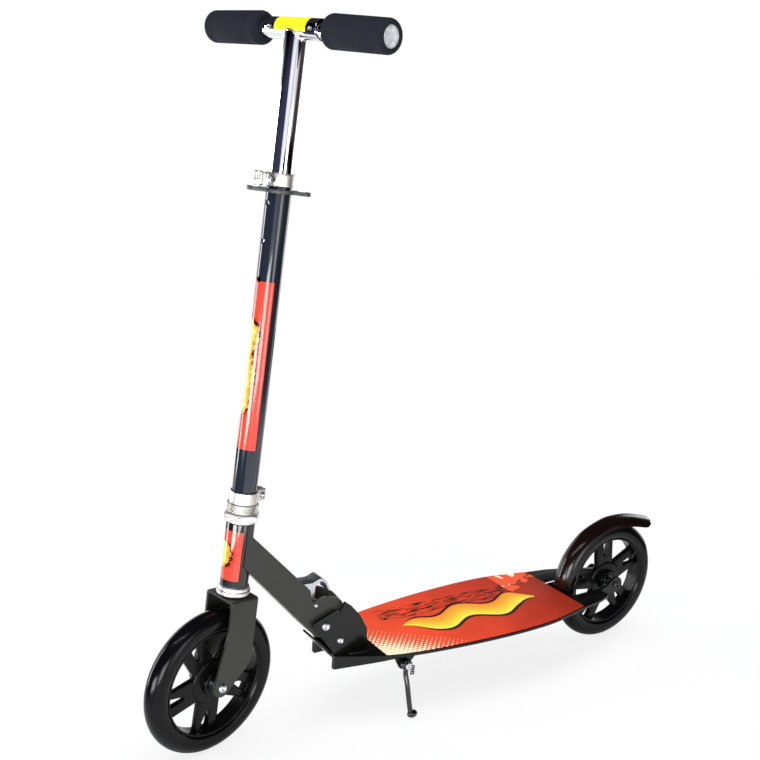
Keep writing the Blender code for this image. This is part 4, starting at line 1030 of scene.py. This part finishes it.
# The real grit is finer. It is drawn about 0.7 mm wide, so that the render can show it.
GRAINS_PER_M, GRAIN_RELIEF = 1400.0, 0.00012
STROKES_PER_M = (42, 330, 1)
RIBBON_MIDDLE, RIBBON_WAVES = 0.53, 3.5
WAVE_HEIGHT, WAVE_SIDE = 0.0095, 0.006
RIBBON_HALF, RIBBON_TIP = 0.025, 0.0005
RIBBON_END = 0.335
FIELD = ((0.0, "F0502A"), (0.3, "E04522"), (0.65, "C4361B"), (1.0, "962815"))
RIBBON = ((0.165, "2A120C"), (0.225, "2A120C"), (0.235, "EE8A2C"), (0.42, "F6A92E"), (0.66, "FBD93C"),
          (0.75, "FBE65A"), (0.76, "2A120C"), (0.84, "2A120C"))
SPLASH = ((0.0, "F2552F"), (0.60, "EE5A34"), (0.62, "F8E8CC"), (0.68, "F8E8CC"))
HALFTONE, STROKE = "F7EBC4", "3B1A12"


def deck_print():
    # Ink over grit: matt, with tiny bright grains, so the colours stay clear at any angle.
    made, tree, shader = blank_finish("printed_grip_film")
    place = local(tree, STANCE)
    xyz = node(tree, "ShaderNodeSeparateXYZ", {0: place})
    left = xyz.outputs["Y"]
    back = node(tree, "ShaderNodeMapRange",
                {"Value": xyz.outputs["X"], "From Min": FILM_FRONT, "From Max": FILM_REAR}, clamp=False)

    # Field: red that darkens towards the rear, with soft clouds.
    field = node(tree, "ShaderNodeValToRGB", {"Fac": back}, stops=FIELD)
    cloud = node(tree, "ShaderNodeTexNoise", {"Vector": place, "Scale": CLOUDS_PER_M, "Detail": 2.0})
    shade = node(tree, "ShaderNodeMapRange", {"Value": cloud, "From Min": 0.35, "From Max": 0.65,
                                              "To Min": 0.90, "To Max": 1.06})
    colour = node(tree, "ShaderNodeVectorMath", {0: field, "Scale": shade}, operation="SCALE")

    # Halftone: round dots on a slanted grid, which grow towards the pale corner until they meet.
    grid = node(tree, "ShaderNodeMapping", {"Vector": place, "Rotation": (0, 0, radians(45))})
    dots = node(tree, "ShaderNodeTexVoronoi", {"Vector": grid, "Scale": DOTS_PER_M, "Randomness": 0.0},
                voronoi_dimensions="2D")
    slope = node(tree, "ShaderNodeMath", {0: left, 1: -3.4, 2: back}, operation="MULTIPLY_ADD")
    dot_size = node(tree, "ShaderNodeMapRange", {"Value": slope, "From Min": -0.19, "From Max": 0.06,
                                                 "To Min": 0.72, "To Max": 0.12})
    in_dot = node(tree, "ShaderNodeMath", {0: dots, 1: dot_size}, operation="LESS_THAN")
    in_zone = node(tree, "ShaderNodeMath", {0: slope, 1: 0.10}, operation="LESS_THAN")

    # Strokes: noise stretched along the deck like a dry brush, kept inside a band on the far side.
    stretched = node(tree, "ShaderNodeMapping",
                     {"Vector": place, "Scale": STROKES_PER_M, "Rotation": (0, 0, 0.12)})
    brush = node(tree, "ShaderNodeTexNoise", {"Vector": stretched, "Scale": 1.0, "Detail": 2.0})
    band_at = node(tree, "ShaderNodeMath", {0: back, 1: 0.016, 2: -0.044}, operation="MULTIPLY_ADD")
    in_band = node(tree, "ShaderNodeMath", {0: left, 1: band_at, 2: 0.017}, operation="COMPARE")
    in_run = node(tree, "ShaderNodeMath", {0: back, 1: 0.47, 2: 0.33}, operation="COMPARE")
    rough = node(tree, "ShaderNodeMath", {0: brush, 1: 0.53}, operation="GREATER_THAN")

    # Ribbon: the distance from a waving line, in units of a half width that swells and ends in points.
    turns = node(tree, "ShaderNodeMath", {0: back, 1: RIBBON_WAVES * FULL_TURN}, operation="MULTIPLY")
    wave = node(tree, "ShaderNodeMath", {0: turns}, operation="SINE")
    line = node(tree, "ShaderNodeMath", {0: wave, 1: WAVE_HEIGHT, 2: WAVE_SIDE}, operation="MULTIPLY_ADD")
    apart = node(tree, "ShaderNodeMath", {0: left, 1: line}, operation="SUBTRACT")
    end_off = node(tree, "ShaderNodeMath", {0: back, 1: RIBBON_MIDDLE}, operation="SUBTRACT")
    end_far = node(tree, "ShaderNodeMath", {0: end_off}, operation="ABSOLUTE")
    half_width = node(tree, "ShaderNodeMapRange", {"Value": end_far, "From Min": 0.22, "From Max": 0.36,
                                                   "To Min": RIBBON_HALF, "To Max": RIBBON_TIP},
                      interpolation_type="SMOOTHSTEP")
    across = node(tree, "ShaderNodeMath", {0: apart, 1: half_width}, operation="DIVIDE")
    ramp_at = node(tree, "ShaderNodeMapRange", {"Value": across, "From Min": -1.5, "From Max": 1.5})
    ribbon = node(tree, "ShaderNodeValToRGB", {"Fac": ramp_at}, stops=RIBBON)
    beside = node(tree, "ShaderNodeMath", {0: ramp_at, 1: 0.5, 2: 0.335}, operation="COMPARE")
    along = node(tree, "ShaderNodeMath", {0: end_far, 1: RIBBON_END}, operation="LESS_THAN")

    # Splash: a brighter patch with pale flecks at the far rear corner.
    flecks = node(tree, "ShaderNodeTexNoise", {"Vector": place, "Scale": FLECKS_PER_M, "Detail": 3.0})
    corner = node(tree, "ShaderNodeMath", {0: left, 1: 5.5, 2: back}, operation="MULTIPLY_ADD")
    reach = node(tree, "ShaderNodeMath", {0: flecks, 1: 0.5, 2: corner}, operation="MULTIPLY_ADD")
    near_rear = node(tree, "ShaderNodeMath", {0: back, 1: 0.93, 2: 0.13}, operation="COMPARE")
    far_side = node(tree, "ShaderNodeMath", {0: reach, 1: 0.93}, operation="LESS_THAN")
    pale = node(tree, "ShaderNodeValToRGB", {"Fac": flecks}, stops=SPLASH)

    # Each motif lies over the last, where all its masks are 1.
    motifs = (((in_dot, in_zone), linear(HALFTONE)), ((in_band, in_run, rough), linear(STROKE)),
              ((beside, along), ribbon), ((near_rear, far_side), pale))
    for (share, *masks), ink in motifs:
        for mask in masks:
            share = node(tree, "ShaderNodeMath", {0: share, 1: mask}, operation="MULTIPLY")
        colour = node(tree, "ShaderNodeMix", {"Factor": share, "A": colour, "B": ink}, data_type="RGBA")

    grit = node(tree, "ShaderNodeTexNoise", {"Vector": place, "Scale": GRAINS_PER_M, "Detail": 1.0})
    bump = node(tree, "ShaderNodeBump", {"Height": grit, "Distance": GRAIN_RELIEF})
    join(tree, shader, {"Base Color": colour, "Normal": bump, "Roughness": 0.62, "IOR": 1.3})
    return made


def make_film():
    edge = [(FILM_FRONT, 0.0592, 0.004)]
    edge += [(x, y - 0.0016) for x, y in DECK_SIDE if FILM_REAR < x < FILM_FRONT - 0.0100]
    edge.append((FILM_REAR, 0.0688, 0.003))
    low = DECK_TOP + 0.00005
    shape = plate(fillet(mirrored(edge)), low, DECK_TOP + GAP + 0.0008, 0.0003)
    return stands_for(piece("printed_deck_film", shape, deck_print(), STANCE), "grip_sheet")


make_film()

# %% [markdown]
# ## Fender brake
#
# The rear fender is a sprung strip of nylon that the heel presses on the tyre. It is domed across, follows
# the tyre, and flares into a flap. Its surface is a grid: each row of points is an arc whose radius and
# opening change along the strip. A solidify modifier gives it its wall.

# %% Fender brake
BRAKE_AT = (-0.603, 0, 0.0885)
FENDER_WALL, FENDER_EDGE = 0.0016, 0.0006
# The strip climbs from its pivot through these points of the middle plane, then follows the tyre at these
# angles and distances, in degrees and metres, round the rear axle.
FENDER_ROOT = (Vector((-0.6085, 0, 0.0900)), Vector((-0.6128, 0, 0.0955)), Vector((-0.6134, 0, 0.1060)))
OVER_TYRE = ((16, 0.1034), (34, 0.1040), (58, 0.1046), (82, 0.1062), (97, 0.1090), (111, 0.1138),
             (124, 0.1208), (132.5, 0.1284))
# Across, each row is an arc. It is flatter at the root and at the flap, which are these shares of the length.
ROOT_END, FLAP_START = 0.22, 0.62
ARC_R, ARC_R_GAIN = 0.0180, 0.45
ARC_OPEN, ARC_LESS_AT_FLAP, ARC_LESS_AT_ROOT = 80, 18, 42
TIP_NARROWS, TIP_LEVELS = 0.30, 0.008
ROW_STEPS, STEPS_ACROSS = 8, 28


def fender_surface():
    axle = Vector((-WHEELBASE, 0, WHEEL_RADIUS))
    over = [axle + r * Vector((cos(radians(a)), 0, sin(radians(a)))) for a, r in OVER_TYRE]
    path = through([*FENDER_ROOT, *over], ROW_STEPS)
    last = len(path) - 1
    shape = bmesh.new()
    rows = []
    for k, here in enumerate(path):
        t = k / last
        along = (path[min(k + 1, last)] - path[max(k - 1, 0)]).normalized()
        out = Vector((along.z, 0, -along.x))
        flap = max(0.0, (t - FLAP_START) / (1 - FLAP_START))
        root = max(0.0, 1 - t / ROOT_END)
        section = ARC_R * (1 + ARC_R_GAIN * flap)
        opening = radians(ARC_OPEN - ARC_LESS_AT_FLAP * flap - ARC_LESS_AT_ROOT * root)
        half_angle = opening * (1 - TIP_NARROWS * flap ** 12)
        row = []
        for j in range(STEPS_ACROSS + 1):
            v = 2 * j / STEPS_ACROSS - 1
            turn = v * half_angle
            point = here - out * section * (1 - cos(turn)) + Vector((0, section * sin(turn), 0))
            row.append(shape.verts.new(point - along * TIP_LEVELS * flap ** 5 * v * v))
        rows.append(row)
    for low, high in zip(rows, rows[1:]):
        for j in range(STEPS_ACROSS):
            shape.faces.new((low[j], low[j + 1], high[j + 1], high[j]))
    return shape


def make_fender():
    strip = piece("strip", fender_surface(), FENDER_NYLON)
    wall = strip.modifiers.new("wall", "SOLIDIFY")
    wall.thickness, wall.offset = FENDER_WALL, -1
    rim = strip.modifiers.new("rounded_rim", "BEVEL")
    rim.width, rim.segments, rim.limit_method, rim.angle_limit = FENDER_EDGE, 2, "ANGLE", radians(60)
    barrel = lathe(pipe_profile(0.0055, 0.0034, -0.0155, 0.0155), 48)
    barrel.transform(shift(BRAKE_AT) @ ALONG_Y)
    shape = merged(from_object(strip), barrel)
    return stands_for(piece("domed_fender", shape, FENDER_NYLON, STANCE), "brake_fender")


make_fender()
coil_at = (BRAKE_AT[0], 0.0208, BRAKE_AT[2])
make_spring("brake_spring", coil_at, 0.0046, 0.0006, 0.0078, 4, ZINC_PLATE, ALONG_Y)

# %% [markdown]
# ## Kickstand
#
# The stand is a bent round bar with an eye at its top and a ball at its foot. The bar tree lays the round
# bar along the bend; the eye is a turned ring round the pivot.

# %% Kickstand
STAND_AT = (-0.2735, 0.0650, 0.0835)
STAND_R, TOE_R = 0.0036, 0.0055
FOOT_X, FOOT_Y = -0.2742, 0.0830
TOE_BACK, TOE_STRETCH = 0.0028, 1.5


def make_kickstand():
    x, y, z = STAND_AT
    ground = FOOT_Y * sin(LEAN) - TYRE_HALF_WIDTH * (1 - cos(LEAN))
    foot = (FOOT_X, FOOT_Y, (TOE_R + ground) / cos(LEAN))
    route = through([(x, y, z - 0.0060), (x, 0.0652, 0.0690), (-0.2737, 0.0707, 0.0550),
                     (-0.2739, 0.0772, 0.0335), foot], 8)
    leg = grown(path_shape(route), BAR_TREE, GLOSS_ENAMEL, Radius=STAND_R, Sides=24)
    eye = lathe(pipe_profile(0.0080, 0.0033, 0.0603, 0.0690, 0.0010), 48)
    eye.transform(shift((x, 0, z)) @ ALONG_Y)
    ball = [(TOE_R * sin(radians(a)), TOE_R * cos(radians(a))) for a in range(12, 180, 12)]
    toe = lathe([(0, TOE_R), *ball, (0, -TOE_R)], 32)
    toe.transform(shift((FOOT_X - TOE_BACK, *foot[1:])) @ Matrix.Diagonal((TOE_STRETCH, 1, 1, 1)))
    return stands_for(piece("bent_stand", merged(leg, eye, toe), GLOSS_ENAMEL, STANCE), "stand_leg")


make_kickstand()
make_spring("stand_spring", (-0.2850, 0.0652, 0.0725), 0.0025, 0.0006, 0.0150, 5, GLOSS_ENAMEL)

# %% [markdown]
# ## Fold latch
#
# The latch is a cast lever between the neck's cheeks. Its hook drops over the stop when the scooter
# stands, and the thumb lifts it to fold. Its outline is drawn from the side, with generous corners.

# %% Fold latch
LATCH_AT = (-0.1475, 0, 0.1805)
LATCH_HALF = 0.0115


def make_latch():
    outline = fillet([
        (-0.1425, 0.1752, 0.004), (-0.1440, 0.1960, 0.010), (-0.1318, 0.2078, 0.001),
        (-0.1330, 0.2115, 0.0015), (-0.1462, 0.2105, 0.010), (-0.1590, 0.2155, 0.006),
        (-0.1690, 0.2080, 0.007), (-0.1745, 0.1940, 0.0012), (-0.1716, 0.1930, 0.0012),
        (-0.1662, 0.2050, 0.006), (-0.1580, 0.2112, 0.006), (-0.1505, 0.2030, 0.008),
        (-0.1500, 0.1870, 0.004), (-0.1560, 0.1810, 0.001), (-0.1545, 0.1752, 0.001)], 8)
    lever = plate(outline, -LATCH_HALF, LATCH_HALF, 0.0012)
    lever.transform(IN_XZ)
    lever = carved(lever, rod(0.0028, -0.03, 0.03, shift(LATCH_AT) @ ALONG_Y))
    return stands_for(piece("cast_latch", lever, ZINC_PLATE, STANCE), "latch_lever")


make_latch()
coil_at = (LATCH_AT[0], 0.0141, LATCH_AT[2])
make_spring("latch_spring", coil_at, 0.0038, 0.0005, 0.0036, 2, ZINC_PLATE, ALONG_Y)

# %% [markdown]
# ## Folded and pressed steel
#
# Pressed steel never has knife edges: bending and tumbling round them by about a millimetre, and that
# thin curve catches the light. These pieces keep the solid's own form and only gain the rounding.

# %% Folded and pressed steel
# The solids of each finish, with the radius of their edges.
pressed = (
    (POWDER_COAT, (("fork", 0.0014), ("neck_beam", 0.0014))),
    (STOVE_ENAMEL, (("fold_plate_left", 0.0009), ("fold_plate_right", 0.0009), ("stop_plate", 0.0006),
                    ("rear_fork_left", 0.0008), ("rear_fork_right", 0.0008), ("spine_channel", 0.0010),
                    ("stand_bracket", 0.0006))),
    (SATIN_CHROME, (("head_nut", 0.0005),)),
    (ZINC_PLATE, (("latch_pin", 0.0004), ("stand_pin", 0.0004))),
    (STOVE_ENAMEL, (("brake_pin", 0.0004),)),
)
for material, solids in pressed:
    for source, edge in solids:
        refined(source, material, edge)

# %% [markdown]
# ## Studio
#
# The photograph has a white background. White paper lies below and keeps a soft shadow where the wheels
# stand; further out it fades to pure white. The studio round it, which only reflections see, has white
# walls, a dark one in front, a dark ceiling and a thin dark band just below the horizon: chrome needs
# them, or it would look like grey paint.

# %% Floor
FADE_FROM, FADE_TO = 0.50, 0.95
SELF_LIT = 0.80


def make_floor():
    # Matt paper that catches the shadow; its edge fades out, so the sheet has no border.
    made, tree, shader = blank_finish("white_paper")
    join(tree, shader, {"Base Color": linear("F6F6F6"), "Roughness": 0.9})
    at = node(tree, "ShaderNodeTexCoord").outputs["Object"]
    away = node(tree, "ShaderNodeVectorMath", {0: at}, operation="LENGTH")
    fade = node(tree, "ShaderNodeMapRange", {"Value": away, "From Min": FADE_FROM, "From Max": FADE_TO},
                interpolation_type="SMOOTHSTEP")
    seen = node(tree, "ShaderNodeLightPath").outputs["Is Camera Ray"]
    share = node(tree, "ShaderNodeMath", {0: seen, 1: SELF_LIT}, operation="MULTIPLY")
    white = node(tree, "ShaderNodeEmission", {"Color": (1, 1, 1, 1), "Strength": 1.0})
    paper = node(tree, "ShaderNodeMixShader", {0: share, 1: shader, 2: white})
    clear = node(tree, "ShaderNodeBsdfTransparent")
    sheet = node(tree, "ShaderNodeMixShader", {0: fade, 1: paper, 2: clear})
    join(tree, tree.nodes["Material Output"], {"Surface": sheet})
    shape = bmesh.new()
    bmesh.ops.create_grid(shape, x_segments=1, y_segments=1, size=1.0)
    floor = piece("paper_floor", shape, made, shift((0, 0, -0.0004)))
    return floor


print("floor", [round(v, 2) for v in make_floor().dimensions])

# %% World
def compass(degrees_round, colour):
    """A stop of the walls' colour ramp at an angle from +X, which is in the middle of the ramp."""
    return (0.5 + degrees_round / 360, colour)


WALLS = tuple(compass(*stop) for stop in (
    (-180, "F2F2F2"), (-50, "FFFFFF"), (-42, "35334A"), (40, "3B3A55"), (47, "F6F6FF"), (72, "FFFFFF"),
    (80, "BFC0C6"), (92, "FAFAFF"), (116, "DCD8DC"), (128, "4A4244"), (150, "3A3034"), (172, "5E504C"),
    (179, "F2F2F2")))
# From straight down to straight up: white, the thin dark band, white again, and the dark ceiling.
HEIGHTS = ((0.0, "FFFFFF"), (0.375, "FFFFFF"), (0.395, "26272A"), (0.420, "26272A"), (0.434, "FFFFFF"),
           (0.58, "FFFFFF"), (0.66, "2A2A30"), (1.0, "2A2A30"))
AMBIENT = 0.45


def make_world():
    world = bpy.data.worlds.new("studio")
    bpy.context.scene.world = world
    world.use_nodes = True
    tree = world.node_tree
    tree.nodes.clear()
    path = node(tree, "ShaderNodeLightPath")
    direct = node(tree, "ShaderNodeMath", operation="MAXIMUM",
                  links={0: path.outputs["Is Camera Ray"], 1: path.outputs["Is Transmission Ray"]})
    xyz = node(tree, "ShaderNodeSeparateXYZ", {0: node(tree, "ShaderNodeTexCoord").outputs["Generated"]})
    around = node(tree, "ShaderNodeMath", {0: xyz.outputs["Y"], 1: xyz.outputs["X"]}, operation="ARCTAN2")
    share = node(tree, "ShaderNodeMapRange", {"Value": around, "From Min": -pi, "From Max": pi})
    rise = node(tree, "ShaderNodeMapRange", {"Value": xyz.outputs["Z"], "From Min": -1.0, "From Max": 1.0})
    walls = node(tree, "ShaderNodeValToRGB", {"Fac": share}, stops=WALLS)
    above = node(tree, "ShaderNodeValToRGB", {"Fac": rise}, stops=HEIGHTS)
    seen = node(tree, "ShaderNodeMix", {"Factor": 1.0, "A": walls, "B": above},
                data_type="RGBA", blend_type="MULTIPLY")
    mirrored_walls = node(tree, "ShaderNodeBackground", {"Color": seen, "Strength": 1.0})
    ambient = node(tree, "ShaderNodeBackground", {"Color": linear("EDEFF6"), "Strength": AMBIENT})
    lit = node(tree, "ShaderNodeMixShader", {0: path.outputs["Is Glossy Ray"], 1: ambient,
                                             2: mirrored_walls})
    white = node(tree, "ShaderNodeBackground", {"Color": (1, 1, 1, 1), "Strength": 1.0})
    blend = node(tree, "ShaderNodeMixShader", {0: direct, 1: lit, 2: white})
    node(tree, "ShaderNodeOutputWorld", {"Surface": blend})
    return world


print("world", make_world().name)

# %% [markdown]
# ## Lamps
#
# A wide soft box hangs overhead and lights the deck; reflections don't show it. Gloss black shows almost
# nothing but its lamps, so each of the others draws a light line: three edge the tubes in white, two low
# ones lie on the tyre and the fender, a thin one above draws a line on both wheels, and the last draws the
# band on the column.

# %% Lamps
def make_lamp(name, place_at, aim, size, power):
    lamp = bpy.data.lights.new(name, "AREA")
    lamp.shape = "RECTANGLE"
    lamp.size, lamp.size_y = size
    lamp.energy = power
    made = bpy.data.objects.new(name, lamp)
    bpy.context.scene.collection.objects.link(made)
    facing = (Vector(aim) - Vector(place_at)).to_track_quat("-Z", "Y")
    made.matrix_world = shift(place_at) @ facing.to_matrix().to_4x4()
    made.visible_camera = False
    made.visible_glossy = name != "overhead_box"
    return made


# The name, place, aim, size in metres and power in watts of each.
LAMPS = (
    ("overhead_box", (-0.1, 0.3, 2.4), (0.0, 0.0, 0.35), (2.2, 1.6), 36),
    ("edge_strip", (1.75, -1.65, 0.60), (0.30, 0.0, 0.50), (0.5, 1.6), 20),
    ("rear_left_box", (0.30, -2.2, 0.75), (0.30, 0.0, 0.55), (1.6, 1.5), 8),
    ("rear_right_box", (-2.1, -0.75, 0.75), (0.30, 0.0, 0.55), (0.6, 1.5), 8),
    ("low_front_box", (2.27, 0.60, -0.02), (0.36, 0.0, 0.12), (1.0, 0.6), 28),
    ("low_side_strip", (1.28, 1.47, 0.14), (-0.36, 0.0, 0.12), (0.8, 0.7), 18),
    ("line_strip", (1.10, 0.85, 1.85), (0.0, 0.0, 0.15), (1.8, 0.06), 6),
    ("column_strip", (-0.06, 2.12, 0.05), (0.30, 0.0, 0.50), (0.75, 1.3), 10),
)
for lamp in LAMPS:
    make_lamp(*lamp)
bpy.context.scene.view_settings.view_transform = "Standard"
